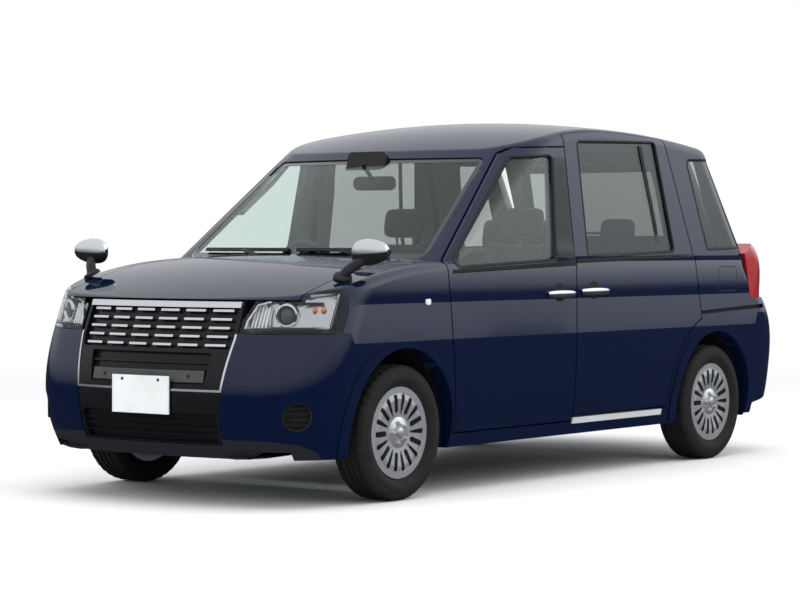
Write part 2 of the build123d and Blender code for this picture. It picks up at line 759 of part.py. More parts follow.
with BuildPart() as front_bumper:
    add(skin)
    add(side_prism(FRONT_BUMPER_SIDE, -LOW_Y, LOW_Y), mode=Mode.INTERSECT)
    for lamp in both_sides(lamp_region(LAMP_GAP)):
        add(lamp, mode=Mode.SUBTRACT)
    add(bonnet_region(half_lid), mode=Mode.SUBTRACT)
    add(front_prism(FACE, 0, -LOW_X), mode=Mode.SUBTRACT)
    for recess in both_sides(fog_rod(FOG_RADIUS, -FOG_DEPTH, LOW_Y)):
        add(recess, mode=Mode.SUBTRACT)

with BuildPart() as rear_bumper:
    add(skin)
    add(side_prism(REAR_BUMPER_SIDE, -LOW_Y, LOW_Y), mode=Mode.INTERSECT)
    add(gate_region(half_lid), mode=Mode.SUBTRACT)

with BuildPart() as left_headlamp:
    add(skin)
    add(lamp_region(0), mode=Mode.INTERSECT)
    add(bonnet_region(half_lid), mode=Mode.SUBTRACT)

# Floor with a firewall, a step up over the rear axle, front rails and wheel housings
with BuildPart() as underbody:
    add(block(STEP_X, FIREWALL_X, -FLOOR_HALF, FLOOR_HALF, FLOOR_BOTTOM_Z, FLOOR_TOP_Z))
    add(block(FIREWALL_X - PLATE, FIREWALL_X, -FLOOR_HALF, FLOOR_HALF, FLOOR_BOTTOM_Z, FIREWALL_TOP_Z))
    add(block(STEP_X, STEP_X + PLATE, -FLOOR_HALF, FLOOR_HALF, FLOOR_BOTTOM_Z, LOAD_FLOOR_Z))
    add(block(LOAD_REAR_X, STEP_X + PLATE, -FLOOR_HALF, FLOOR_HALF, LOAD_FLOOR_Z - PLATE, LOAD_FLOOR_Z))
    for side in (-1, 1):
        with Locations(((FIREWALL_X + RAIL_FRONT_X) / 2, side * RAIL_Y, RAIL_Z)):
            Box(RAIL_FRONT_X - FIREWALL_X, RAIL_WIDTH, RAIL_HEIGHT)
    add(block(RAIL_FRONT_X - PLATE, RAIL_FRONT_X, -RAIL_BEAM_HALF, RAIL_BEAM_HALF, RAIL_Z - BEAM_HEIGHT,
              RAIL_Z + BEAM_HEIGHT))
    for arch in wheel_arches():
        add(arch, mode=Mode.SUBTRACT)


def housing_solid(axle_x):
    """A wheel housing: a round cover over the wheel with an inner wall, cut off level under the axle."""
    wall_y = HOUSING_INNER_Y - HOUSING_WALL + SEAT
    with BuildPart() as housing:
        add(cross_rod(axle_x, TYRE_RADIUS, ARCH_RADIUS - SEAT, wall_y, HOUSING_OUTER_Y))
        add(cross_rod(axle_x, TYRE_RADIUS, ARCH_RADIUS - HOUSING_WALL, HOUSING_INNER_Y, LOW_Y),
            mode=Mode.SUBTRACT)
        add(block(LOW_X, -LOW_X, 0, LOW_Y, -ARCH_RADIUS, HOUSING_LOW_Z), mode=Mode.SUBTRACT)
        add(cross_rod(axle_x, TYRE_RADIUS, AXLE_HOLE, 0, LOW_Y), mode=Mode.SUBTRACT)
        add(block(axle_x - AXLE_HOLE, axle_x + AXLE_HOLE, 0, LOW_Y, 0, TYRE_RADIUS), mode=Mode.SUBTRACT)
    return housing.part


with BuildPart() as wheel_housings:
    for axle_x in (FRONT_AXLE_X, REAR_AXLE_X):
        for housing in both_sides(housing_solid(axle_x)):
            add(housing)

# Running gear under the floor
with BuildPart() as engine_block:
    between_rails = RAIL_Y - RAIL_WIDTH / 2 - SEAT
    add(block(ENGINE_X - ENGINE_LENGTH_HALF, ENGINE_X + ENGINE_LENGTH_HALF, -ENGINE_HALF, ENGINE_HALF,
              ENGINE_LOW_Z, ENGINE_HIGH_Z))
    add(block(ENGINE_X - ENGINE_MOUNT_HALF, ENGINE_X + ENGINE_MOUNT_HALF, -between_rails, between_rails,
              RAIL_Z - ENGINE_MOUNT_HEIGHT, RAIL_Z + ENGINE_MOUNT_HEIGHT))

with BuildPart() as left_front_arm:
    arm_span = (FRONT_AXLE_X - ARM_HALF, FRONT_AXLE_X + ARM_HALF)
    add(block(*arm_span, RAIL_Y - ARM_INNER, KINGPIN_Y + ARM_OUTER, ARM_TOP_Z - ARM_THICKNESS, ARM_TOP_Z))
    add(block(*arm_span, RAIL_Y - ARM_MOUNT_HALF, RAIL_Y + ARM_MOUNT_HALF, ARM_TOP_Z,
              RAIL_Z - RAIL_HEIGHT / 2 - SEAT))
    with BuildSketch(Plane.XY.offset(STRUT_FOOT_Z)):
        with Locations((FRONT_AXLE_X, STRUT_Y)):
            Circle(STRUT_RADIUS)
    extrude(amount=STRUT_TOP_Z - STRUT_FOOT_Z)
    with BuildSketch(Plane.XY.offset(STRUT_TOP_Z - STRUT_CAP)):
        with Locations((FRONT_AXLE_X, STRUT_Y)):
            Circle(STRUT_RADIUS + STRUT_CAP_OVER)
    extrude(amount=STRUT_CAP)

with BuildPart() as front_suspension:
    for arm in both_sides(left_front_arm.part):
        add(arm)

with BuildPart() as rear_axle:
    add(cross_rod(REAR_AXLE_X, TYRE_RADIUS, BEAM_RADIUS, -KINGPIN_Y, KINGPIN_Y))
    spindle_tip = TRACK_HALF + SPINDLE_END
    add(cross_rod(REAR_AXLE_X, TYRE_RADIUS, SPINDLE_RADIUS, -spindle_tip, spindle_tip))
    for side in (-1, 1):
        with Locations(((REAR_AXLE_X + STEP_X) / 2, side * TRAIL_Y, TYRE_RADIUS)):
            Box(STEP_X - REAR_AXLE_X - SEAT * 2, TRAIL_WIDTH, TRAIL_WIDTH)
        with BuildSketch(Plane.XY.offset(TYRE_RADIUS)):
            with Locations((REAR_AXLE_X - SPRING_OFFSET, side * TRAIL_Y)):
                Circle(STRUT_RADIUS)
        extrude(amount=LOAD_FLOOR_Z - PLATE - SEAT - TYRE_RADIUS)

with BuildPart() as fuel_tank:
    add(cross_rod(TANK_X, TANK_Z, TANK_RADIUS, -TANK_HALF, TANK_HALF))
    fillet(fuel_tank.edges().filter_by(GeomType.CIRCLE), TANK_ROUND)
    strap_top = LOAD_FLOOR_Z - PLATE - SEAT
    for side in (-1, 1):
        with Locations((TANK_X, side * TANK_STRAP_Y, (TANK_STRAP_LOW_Z + strap_top) / 2)):
            Box(*TANK_STRAP, strap_top - TANK_STRAP_LOW_Z)

with BuildPart() as exhaust:
    pipe_start = (PIPE_FRONT_X, PIPE_Y, PIPE_Z)
    with BuildLine() as exhaust_route:
        FilletPolyline(pipe_start, (PIPE_TURN_X[0], PIPE_Y, PIPE_Z), (PIPE_TURN_X[1], PIPE_TAIL_Y, PIPE_Z),
                       (PIPE_TAIL_X, PIPE_TAIL_Y, PIPE_Z), radius=PIPE_BEND)
    with BuildSketch(Plane(origin=pipe_start, z_dir=(-1, 0, 0))):
        Circle(PIPE_RADIUS)
    sweep(path=exhaust_route.line)
    with BuildSketch(Plane(origin=(0, PIPE_Y, PIPE_Z), x_dir=(0, 1, 0), z_dir=(-1, 0, 0))):
        Ellipse(*SILENCER_HALVES)
    extrude(amount=SILENCER_LENGTH)
    hanger_top = FLOOR_BOTTOM_Z - SEAT
    for x in PIPE_HANGERS_X:
        with Locations((x, PIPE_Y, (hanger_top + PIPE_Z) / 2)):
            Box(*PIPE_HANGER, hanger_top - PIPE_Z)


def cabin_layer(outline):
    """A pane of the cabin's curved glass within an outline."""
    with BuildPart() as pane:
        add(glass_layer)
        add(outline, mode=Mode.INTERSECT)
    return pane.part


with BuildPart() as glass_stock:
    add(cabin_hull(GLASS_DEPTH, GLASS_DEPTH))
    add(cabin_hull(GLASS_DEPTH + GLASS_THICKNESS, GLASS_DEPTH + GLASS_THICKNESS), mode=Mode.SUBTRACT)
glass_layer = glass_stock.part

with BuildPart() as windscreen:
    add(cabin_layer(front_prism(SCREEN, 0, -LOW_X, -GLASS_SEAT, SCREEN_CORNER)))

with BuildPart() as left_front_window:
    add(cabin_layer(side_prism(FRONT_WINDOW, FRONT_DOOR_INNER_Y, LOW_Y, -GLASS_SEAT, SIDE_CORNER)))

with BuildPart() as sliding_door_glass:
    add(cabin_layer(side_prism(REAR_WINDOW, FRONT_DOOR_INNER_Y, LOW_Y, -GLASS_SEAT, SIDE_CORNER)))

with BuildPart() as quarter_glass:
    quarter_outline = side_prism(QUARTER_WINDOW, SIDE_SEAM_Y, LOW_Y, -GLASS_SEAT, SIDE_CORNER)
    for pane in both_sides(cabin_layer(quarter_outline)):
        add(pane)

with BuildPart() as tailgate_glass:
    add(cabin_layer(front_prism(GATE_WINDOW, LOW_X, 0, -GLASS_SEAT, SCREEN_CORNER)))


def nose_layer(front_depth, back_depth, outline):
    """A curved slab of the nose between two depths, within a front outline."""
    with BuildPart() as slab:
        add(lofted(LOWER_LEVELS, NOSE_BOW, TAIL_BOW, (front_depth, front_depth, front_depth)))
        add(outline, mode=Mode.INTERSECT)
        add(lofted(LOWER_LEVELS, NOSE_BOW, TAIL_BOW, (back_depth, back_depth, back_depth)),
            mode=Mode.SUBTRACT)
    return slab.part


def bar_outline(y_from, y_to, z_from, z_to):
    """A rectangle seen from the front, pushed along the nose."""
    return block(NOSE_STOCK_X, -LOW_X, y_from, y_to, z_from, z_to)


with BuildPart() as panel_outline:
    add(front_prism(FACE, NOSE_STOCK_X, -LOW_X, -SEAT))
    for window in (DASH_FIELD, UPPER_INTAKE, LOWER_INTAKE):
        add(front_prism(window, NOSE_STOCK_X, -LOW_X, 0, WINDOW_ROUND), mode=Mode.SUBTRACT)

# One black moulding: back wall, flush panel round three windows, bars across them and bosses for the plate
with BuildPart() as grille:
    face_outline = front_prism(FACE, NOSE_STOCK_X, -LOW_X, -SEAT)
    add(nose_layer(GRILLE_DEPTH, GRILLE_DEPTH + GRILLE_WALL, face_outline))
    add(nose_layer(PANEL_DEPTH, GRILLE_DEPTH + FACE_OVERLAP, panel_outline.part))
    for low_z, high_z, half, depth in FACE_BARS:
        add(nose_layer(depth, GRILLE_DEPTH + FACE_OVERLAP, bar_outline(-half, half, low_z, high_z)))
    for y in (-BOSS_Y, BOSS_Y):
        add(block(PLATE_BACK_X - GRILLE_DEPTH, PLATE_BACK_X - SEAT, y - BOSS_HALF, y + BOSS_HALF, *BOSS_Z))

with BuildPart() as dash_outlines:
    for row in range(DASH_ROWS):
        for column in range(DASH_COLUMNS):
            width = 2 * DASH_SPAN / DASH_COLUMNS
            left = -DASH_SPAN + column * width + DASH_SPACE / 2
            bottom = DASH_LOW_Z + row * DASH_PITCH
            add(bar_outline(left, left + width - DASH_SPACE, bottom, bottom + DASH_HEIGHT))

with BuildPart() as grille_dashes:
    add(nose_layer(DASH_BACK - DASH_DEPTH, DASH_BACK + FACE_OVERLAP - SEAT, dash_outlines.part))

# A wide bar over the grille and a thin line down its sides and along its foot
with BuildPart() as trim_outline:
    add(front_prism(GRILLE, NOSE_STOCK_X, -LOW_X, -SEAT))
    add(front_prism(GRILLE, NOSE_STOCK_X, -LOW_X, -TRIM_WIDTH), mode=Mode.SUBTRACT)
    add(bar_outline(-LOW_Y, LOW_Y, TRIM_TOP_Z, LOW_Y), mode=Mode.SUBTRACT)
    add(bar_outline(-TOP_BAR_HALF, TOP_BAR_HALF, TOP_BAR_Z - TOP_BAR_HEIGHT, TOP_BAR_Z - SEAT))

with BuildPart() as chrome_trim:
    add(nose_layer(0, PANEL_DEPTH - SEAT, trim_outline.part))

with BuildPart() as number_plate:
    add(block(PLATE_BACK_X, PLATE_BACK_X + PLATE_THICKNESS, -PLATE_WIDTH / 2, PLATE_WIDTH / 2,
              PLATE_Z - PLATE_HEIGHT / 2, PLATE_Z + PLATE_HEIGHT / 2))

with BuildPart() as headlamps:
    for lamp in both_sides(left_headlamp.part):
        add(lamp)

with BuildPart() as left_tail_lamp:
    add(lofted(TAIL_LAMP_LEVELS, NOSE_BOW, TAIL_BOW))
    add(lofted(LOWER_LEVELS, NOSE_BOW, TAIL_BOW, (WALL_SIDE, WALL_SIDE, WALL_SIDE)),
        mode=Mode.SUBTRACT)
    add(tail_lamp_region(0), mode=Mode.INTERSECT)

with BuildPart() as tail_lamps:
    for lamp in both_sides(left_tail_lamp.part):
        add(lamp)

with BuildPart() as left_fog_lamp:
    add(fog_rod(FOG_RADIUS - SEAT, SEAT - FOG_DEPTH, 0))
    add(fog_rod(FOG_RADIUS - FOG_RIM, -2 * FOG_DEPTH / 3, LOW_Y), mode=Mode.SUBTRACT)
    with BuildPart(mode=Mode.PRIVATE) as fins:
        add(fog_rod(FOG_RADIUS - FOG_RIM + FACE_OVERLAP, 2 * FACE_OVERLAP - FOG_DEPTH, -FOG_DEPTH / 3))
        with BuildPart(mode=Mode.PRIVATE) as fin_levels:
            for rise in FOG_FINS:
                fin_z = FOG_CENTRE[2] + rise
                add(block(0, -LOW_X, 0, LOW_Y, fin_z - FIN_HALF, fin_z + FIN_HALF))
        add(fin_levels.part, mode=Mode.INTERSECT)
    add(fins.part)

with BuildPart() as fog_lamps:
    for lamp in both_sides(left_fog_lamp.part):
        add(lamp)


def proud_of_skin(stock, out):
    """What is left of a stock in a thin layer on the body's sides."""
    with BuildPart() as layer:
        add(stock)
        add(lofted(LOWER_LEVELS, NOSE_BOW, TAIL_BOW, (-out, -out, -out)), mode=Mode.INTERSECT)
        add(outer_hull, mode=Mode.SUBTRACT)
    return layer.part


def flare_stock(axle_x):
    """A ring round the left wheel arch, cut off level at the sill."""
    with BuildPart() as ring:
        add(cross_rod(axle_x, TYRE_RADIUS, FLARE_RADIUS, HOUSING_OUTER_Y, LOW_Y))
        add(cross_rod(axle_x, TYRE_RADIUS, ARCH_RADIUS, 0, LOW_Y), mode=Mode.SUBTRACT)
        add(block(LOW_X, -LOW_X, 0, LOW_Y, -LOW_Y, FLARE_LOW_Z), mode=Mode.SUBTRACT)
        add(front_door_region(DOOR_GAP + half_door, 0), mode=Mode.SUBTRACT)
    return ring.part


with BuildPart() as arch_flares:
    for axle_x in (FRONT_AXLE_X, REAR_AXLE_X):
        for flare in both_sides(proud_of_skin(flare_stock(axle_x), FLARE_OUT)):
            add(flare)

with BuildPart() as sill_strips:
    strip_stock = block(STRIP_REAR_X, STRIP_FRONT_X, HOUSING_OUTER_Y, LOW_Y, STRIP_LOW_Z, STRIP_HIGH_Z)
    for strip in both_sides(proud_of_skin(strip_stock, STRIP_OUT)):
        add(strip)


# Wheels and tyres, made at the origin with the axle along Y and the outer face towards +Y
with BuildPart() as tyre_shape:
    with BuildSketch(Plane.XY) as tyre_section:
        with BuildLine():
            Polyline(TYRE_SECTION, close=True)
        make_face()
        fillet(tyre_section.vertices().filter_by(lambda corner: corner.X > RIM_RADIUS + 20), TYRE_ROUND)
    revolve(axis=Axis.Y)

with BuildPart() as wheel_shape:
    with BuildSketch(Plane.XY):
        with BuildLine():
            Polyline((RIM_RADIUS - 14, -RIM_HALF), (RIM_RADIUS + 13, -RIM_HALF), (RIM_RADIUS + 13, -RIM_HALF + 6),
                     (RIM_RADIUS - SEAT, -RIM_HALF + 8), (RIM_RADIUS - SEAT, RIM_HALF - 8),
                     (RIM_RADIUS + 13, RIM_HALF - 6), (RIM_RADIUS + 13, RIM_HALF), (RIM_RADIUS - 14, RIM_HALF),
                     close=True)
        make_face()
    revolve(axis=Axis.Y)
    with BuildSketch(Plane.XY):
        with BuildLine():
            Polyline((0, COVER_OUT), (40, COVER_OUT), (70, COVER_OUT - 8), (150, COVER_OUT - 2),
                     (RIM_RADIUS, COVER_OUT - 6), (RIM_RADIUS, COVER_OUT - 18), (150, COVER_OUT - 14),
                     (HUB_RADIUS, COVER_OUT - 20), (HUB_RADIUS, HUB_BACK), (SPINDLE_RADIUS + SEAT, HUB_BACK),
                     (SPINDLE_RADIUS + SEAT, SPINDLE_END + SEAT), (0, SPINDLE_END + SEAT), close=True)
        make_face()
    revolve(axis=Axis.Y)
    with BuildSketch(Plane.XZ.offset(-2 * COVER_OUT)):
        with PolarLocations((SLOT_INNER + SLOT_OUTER) / 2, SLOT_COUNT):
            SlotOverall(SLOT_OUTER - SLOT_INNER, WIDE_SLOT)
        with PolarLocations((SLOT_INNER + SLOT_OUTER) / 2, SLOT_COUNT, 180 / SLOT_COUNT):
            SlotOverall(SLOT_OUTER - SLOT_INNER + 10, THIN_SLOT)
    extrude(amount=2 * COVER_OUT - RIM_HALF / 3, mode=Mode.SUBTRACT)


def at_wheel(shape, axle_x, side):
    """A wheel piece set on its axle, turned so that its outer face looks away from the car."""
    turned = shape if side > 0 else shape.mirror(Plane.XZ)
    return turned.moved(Location((axle_x, side * TRACK_HALF, TYRE_RADIUS)))


# Steering knuckles: hub barrel, spindle, post with a pad under the strut, and a steering arm
def knuckle_solid():
    """The left front knuckle, at rest."""
    inner_y = KINGPIN_Y - KNUCKLE_INNER
    post_y = KINGPIN_Y - KNUCKLE_POST
    foot_x = (FRONT_AXLE_X - KNUCKLE_PAD, FRONT_AXLE_X + KNUCKLE_PAD)
    post_x = (FRONT_AXLE_X - KNUCKLE_HALF, FRONT_AXLE_X + KNUCKLE_HALF)
    top_z = STRUT_FOOT_Z - KNUCKLE_CLEAR
    arm_x = [FRONT_AXLE_X - reach for reach in STEER_ARM_REACH]
    arm_z = [TYRE_RADIUS - drop for drop in STEER_ARM_DROP]
    with BuildPart() as knuckle:
        add(cross_rod(FRONT_AXLE_X, TYRE_RADIUS, KNUCKLE_RADIUS, inner_y, TRACK_HALF + HUB_BACK - HUB_CLEAR))
        add(cross_rod(FRONT_AXLE_X, TYRE_RADIUS, SPINDLE_RADIUS, KINGPIN_Y, TRACK_HALF + SPINDLE_END))
        add(block(*foot_x, inner_y, KINGPIN_Y + KNUCKLE_OUTER, ARM_TOP_Z + KNUCKLE_CLEAR, TYRE_RADIUS))
        add(block(*post_x, inner_y, post_y, TYRE_RADIUS, top_z))
        add(block(*post_x, STRUT_Y - KNUCKLE_PAD, post_y, STRUT_FOOT_Z - KNUCKLE_PAD, top_z))
        add(block(*arm_x, inner_y, post_y, *arm_z))
    return knuckle.part


left_knuckle_solid = knuckle_solid()

with BuildPart() as left_knuckle:
    add(left_knuckle_solid)

with BuildPart() as right_knuckle:
    mirror(left_knuckle_solid, about=Plane.XZ)


# Cabin
with BuildPart() as dashboard:
    with BuildSketch(Plane.XZ.offset(-DASH_HALF)) as dash_side:
        with BuildLine():
            Polyline(DASH_SECTION, close=True)
        make_face()
        fillet(dash_side.vertices().filter_by(lambda corner: corner.X < DASH_ROUND_X), DASH_REAR_ROUND)
    extrude(amount=2 * DASH_HALF)
    with BuildSketch(Plane(origin=COLUMN_TOP, z_dir=COLUMN_DIR)):
        Circle(COLUMN_RADIUS)
    extrude(amount=-COLUMN_LENGTH)

with BuildPart() as steering_wheel:
    hub_place = Vector(*COLUMN_TOP) + Vector(*COLUMN_DIR) * SEAT
    wheel_plane = Plane(origin=hub_place, x_dir=(0, 1, 0), z_dir=COLUMN_DIR)
    with BuildSketch(wheel_plane):
        Circle(STEER_HUB[0])
    extrude(amount=STEER_HUB[1])
    with BuildSketch(wheel_plane.offset(STEER_SPOKE_RISE)):
        with PolarLocations(STEER_SPOKE_MIDDLE, 3, 90):
            Rectangle(STEER_SPOKE[0], STEER_SPOKE[1])
    extrude(amount=STEER_SPOKE[2])
    rim_middle = wheel_plane.offset(STEER_RIM_RISE).origin
    with BuildSketch(Plane(origin=rim_middle, x_dir=(0, 1, 0), z_dir=wheel_plane.y_dir)):
        with Locations((STEER_RADIUS, 0)):
            Circle(STEER_RIM)
    revolve(axis=Axis(rim_middle, COLUMN_DIR))


def seat_solid(y):
    """A front seat: cushion, raked back and a headrest on two posts, on a plinth."""
    with BuildPart() as seat:
        for section, width, corner in ((SEAT_SECTION, SEAT_WIDTH, SEAT_ROUND),
                                       (HEADREST_SECTION, HEADREST_WIDTH, HEADREST_ROUND)):
            add(side_prism(section, y - width / 2, y + width / 2, 0, corner))
        for offset_y in HEADREST_POSTS:
            add(block(*HEADREST_POST_X, y + offset_y, y + offset_y + HEADREST_POST, *HEADREST_POST_Z))
        add(block(FRONT_SEAT_X - PLINTH_REAR, FRONT_SEAT_X + PLINTH_FRONT, y - PLINTH_HALF, y + PLINTH_HALF,
                  FLOOR_TOP_Z + SEAT, SEAT_LOW_Z))
    return seat.part


with BuildPart() as front_seats:
    for y in (-SEAT_Y, SEAT_Y):
        add(seat_solid(y))

with BuildPart() as rear_seat:
    add(block(*BENCH_CUSHION_X, -BENCH_HALF, BENCH_HALF, LOAD_FLOOR_Z + SEAT, BENCH_CUSHION_Z))
    add(side_prism(BENCH_SECTION, -BENCH_HALF, BENCH_HALF))
    add(block(*BENCH_BASE_X, -BENCH_BASE_HALF, BENCH_BASE_HALF, FLOOR_TOP_Z + SEAT, BENCH_BASE_Z))
    for y in BENCH_HEADRESTS_Y:
        add(block(*BENCH_HEADREST_X, y - BENCH_HEADREST_HALF, y + BENCH_HEADREST_HALF, *BENCH_HEADREST_Z))


# Outside fittings
def handle_bar(x_from, x_to, z):
    """A door handle: a rounded bar on the door's skin."""
    with BuildPart() as bar:
        with Locations(((x_from + x_to) / 2, HANDLE_Y + HANDLE_DEPTH / 2, z)):
            Box(x_to - x_from, HANDLE_DEPTH, HANDLE_HEIGHT)
        fillet(bar.edges().filter_by(Axis.X), HANDLE_ROUND)
        for x in (x_from + HANDLE_FOOT, x_to - HANDLE_FOOT):
            add(block(x - HANDLE_FOOT / 2, x + HANDLE_FOOT / 2, HANDLE_Y - HANDLE_FOOT_SINK,
                      HANDLE_Y + HANDLE_DEPTH / 2, z - HANDLE_FOOT_HALF, z + HANDLE_FOOT_HALF))
        add(outer_hull, mode=Mode.SUBTRACT)
    return bar.part


with BuildPart() as left_front_handle:
    add(handle_bar(35, 269, 893))

with BuildPart() as sliding_door_handle:
    add(handle_bar(-271, -25, 901))


def mirror_solid():
    """A fender mirror: a round-edged head on a raked stem."""
    with BuildPart() as mirror_head:
        with Locations(MIRROR_CENTRE):
            Box(MIRROR_DEPTH, MIRROR_WIDTH, MIRROR_HEIGHT)
        fillet(mirror_head.edges(), MIRROR_ROUND)
        stem = Vector(*MIRROR_CENTRE) - Vector(*MIRROR_FOOT)
        with BuildSketch(Plane(origin=MIRROR_FOOT, z_dir=stem)):
            Ellipse(*MIRROR_STEM)
        extrude(amount=stem.length - MIRROR_STEM_SHORT)
        add(outer_hull, mode=Mode.SUBTRACT)
    return mirror_head.part


with BuildPart() as fender_mirrors:
    for piece in both_sides(mirror_solid()):
        add(piece)


nodes = {
    "underbody": underbody.part,
    "wheel_housings": wheel_housings.part,
    "left_body_side": left_body_side.part,
    "right_body_side": body_side.part.mirror(Plane.XZ),
    "roof_panel": roof_panel.part,
    "cowl": cowl.part,
    "left_fender": left_fender.part,
    "right_fender": left_fender.part.mirror(Plane.XZ),
    "front_bumper": front_bumper.part,
    "rear_bumper": rear_bumper.part,
    "grille": grille.part,
    "grille_dashes": grille_dashes.part,
    "chrome_trim": chrome_trim.part,
    "number_plate": number_plate.part,
    "headlamps": headlamps.part,
    "tail_lamps": tail_lamps.part,
    "fog_lamps": fog_lamps.part,
    "arch_flares": arch_flares.part,
    "sill_strips": sill_strips.part,
    "windscreen": windscreen.part,
    "quarter_glass": quarter_glass.part,
    "sliding_door": sliding_door.part,
    "sliding_door_glass": sliding_door_glass.part,
    "sliding_door_handle": sliding_door_handle.part,
    "left_front_door": left_front_door.part,
    "left_front_window": left_front_window.part,
    "left_front_handle": left_front_handle.part,
    "right_front_door": left_front_door.part.mirror(Plane.XZ),
    "right_front_window": left_front_window.part.mirror(Plane.XZ),
    "right_front_handle": left_front_handle.part.mirror(Plane.XZ),
    "right_rear_door": sliding_door.part.mirror(Plane.XZ),
    "right_rear_window": sliding_door_glass.part.mirror(Plane.XZ),
    "right_rear_handle": sliding_door_handle.part.mirror(Plane.XZ),
    "tailgate": tailgate.part,
    "tailgate_glass": tailgate_glass.part,
    "bonnet": bonnet.part,
    "engine_block": engine_block.part,
    "front_suspension": front_suspension.part,
    "rear_axle": rear_axle.part,
    "fuel_tank": fuel_tank.part,
    "exhaust": exhaust.part,
    "dashboard": dashboard.part,
    "steering_wheel": steering_wheel.part,
    "front_seats": front_seats.part,
    "rear_seat": rear_seat.part,
    "fender_mirrors": fender_mirrors.part,
    "left_knuckle": left_knuckle.part,
    "right_knuckle": right_knuckle.part,
}
for end, axle_x in (("front", FRONT_AXLE_X), ("rear", REAR_AXLE_X)):
    for hand, side in (("left", 1), ("right", -1)):
        nodes[f"{hand}_{end}_tyre"] = at_wheel(tyre_shape.part, axle_x, side)
        nodes[f"{hand}_{end}_wheel"] = at_wheel(wheel_shape.part, axle_x, side)

os.makedirs("parts", exist_ok=True)
for name, solid in nodes.items():
    solid.label = name
    export_step(solid, f"parts/{name}.step")
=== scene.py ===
"""Looks of a dark blue taxi cab: finishes for its panels and the small pieces that dress them.

Metres, +X forward, +Y to the car's left, +Z up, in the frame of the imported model.
"""
import json
import math

import bmesh
import bpy
from mathutils import Matrix, Vector
from mathutils.bvhtree import BVHTree


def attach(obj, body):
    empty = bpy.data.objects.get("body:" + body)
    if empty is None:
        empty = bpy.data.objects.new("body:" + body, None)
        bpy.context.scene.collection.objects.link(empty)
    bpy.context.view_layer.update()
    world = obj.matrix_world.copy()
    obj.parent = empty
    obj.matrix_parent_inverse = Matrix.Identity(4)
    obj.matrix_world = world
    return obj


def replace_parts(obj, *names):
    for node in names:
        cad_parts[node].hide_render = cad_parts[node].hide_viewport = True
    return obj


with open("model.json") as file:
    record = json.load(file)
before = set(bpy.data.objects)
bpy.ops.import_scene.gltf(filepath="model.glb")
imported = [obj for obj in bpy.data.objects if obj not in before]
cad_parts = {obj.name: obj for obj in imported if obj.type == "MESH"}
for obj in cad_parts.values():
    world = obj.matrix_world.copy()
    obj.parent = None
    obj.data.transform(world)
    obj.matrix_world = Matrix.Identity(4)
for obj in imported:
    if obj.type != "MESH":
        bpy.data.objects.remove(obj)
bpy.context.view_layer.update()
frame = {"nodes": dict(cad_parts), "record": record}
NODES = frame["nodes"]


class Shade:
    """A shader socket. Sums and products of sockets add their Math nodes to the material."""

    def __init__(self, tree, socket=None):
        self.tree = tree
        self.socket = socket

    def node(self, kind, settings=None, sockets=None, out=0):
        """A new node of that kind: first its settings, then the values or links of its sockets."""
        made = self.tree.nodes.new("ShaderNode" + kind)
        for name, value in (settings or {}).items():
            if name == "stops":
                elements = made.color_ramp.elements
                for spot, (place, colour) in enumerate(value):
                    stop = elements[spot] if spot < 2 else elements.new(place)
                    stop.position = place
                    stop.color = (*colour, 1)
            else:
                setattr(made, name, value)
        for name, value in (sockets or {}).items():
            if isinstance(value, Shade):
                self.tree.links.new(value.socket, made.inputs[name])
            else:
                made.inputs[name].default_value = value
        return Shade(self.tree, made.outputs[out] if made.outputs else None)

    def math(self, operation, *terms):
        return self.node("Math", {"operation": operation}, dict(enumerate(terms)))

    def __add__(self, other):
        return self.math("ADD", self, other)

    __radd__ = __add__

    def __sub__(self, other):
        return self.math("SUBTRACT", self, other)

    def __rsub__(self, other):
        return self.math("SUBTRACT", other, self)

    def __mul__(self, other):
        return self.math("MULTIPLY", self, other)

    __rmul__ = __mul__

    def above(self, edge):
        """1 where this value is over the edge, else 0."""
        return self.math("GREATER_THAN", self, edge)

    def part(self, axis):
        """One of a vector's X, Y and Z."""
        return self.node("SeparateXYZ", None, {0: self}, axis)

    def mixed(self, low, high):
        """A colour that goes from low to high with this value."""
        return self.node("Mix", {"data_type": "RGBA"}, {0: self, 6: low, 7: high}, 2)

    def bump(self, strength, distance, over=None):
        """A normal tipped by this value as a height, over another normal if one is given."""
        sockets = {"Height": self, "Strength": strength, "Distance": distance}
        return self.node("Bump", None, sockets if over is None else {**sockets, "Normal": over})

    def between(self, low, high):
        """This value's share of the way from low to high, held to 0 and 1 outside."""
        return self.node("MapRange", {"clamp": True}, {0: self, 1: low, 2: high, 3: 0.0, 4: 1.0})

    def place(self):
        return self.node("TexCoord", out="Object")

    def facing(self):
        return self.node("TexCoord", out="Normal")

    def noise(self, scale, detail=2.0):
        return self.node("TexNoise", None, {"Vector": self.place(), "Scale": scale, "Detail": detail})

    def cells(self, scale):
        return self.node("TexVoronoi", None, {"Vector": self.place(), "Scale": scale})

    def waves(self, scale, direction):
        return self.node("TexWave", {"bands_direction": direction}, {"Vector": self.place(), "Scale": scale}, 1)

    def surface(self, **sockets):
        """A Principled shader; its sockets' names are given with _ for a space."""
        spaced = {name.replace("_", " "): value for name, value in sockets.items()}
        return self.node("BsdfPrincipled", None, spaced)


def colour(red, green, blue):
    return (red, green, blue, 1)


def finish(name, look, *choices):
    """A material whose surface comes from a look."""
    material = bpy.data.materials.new(name)
    material.use_nodes = True
    material.node_tree.nodes.clear()
    start = Shade(material.node_tree)
    start.node("OutputMaterial", None, {"Surface": look(start, *choices)})
    return material


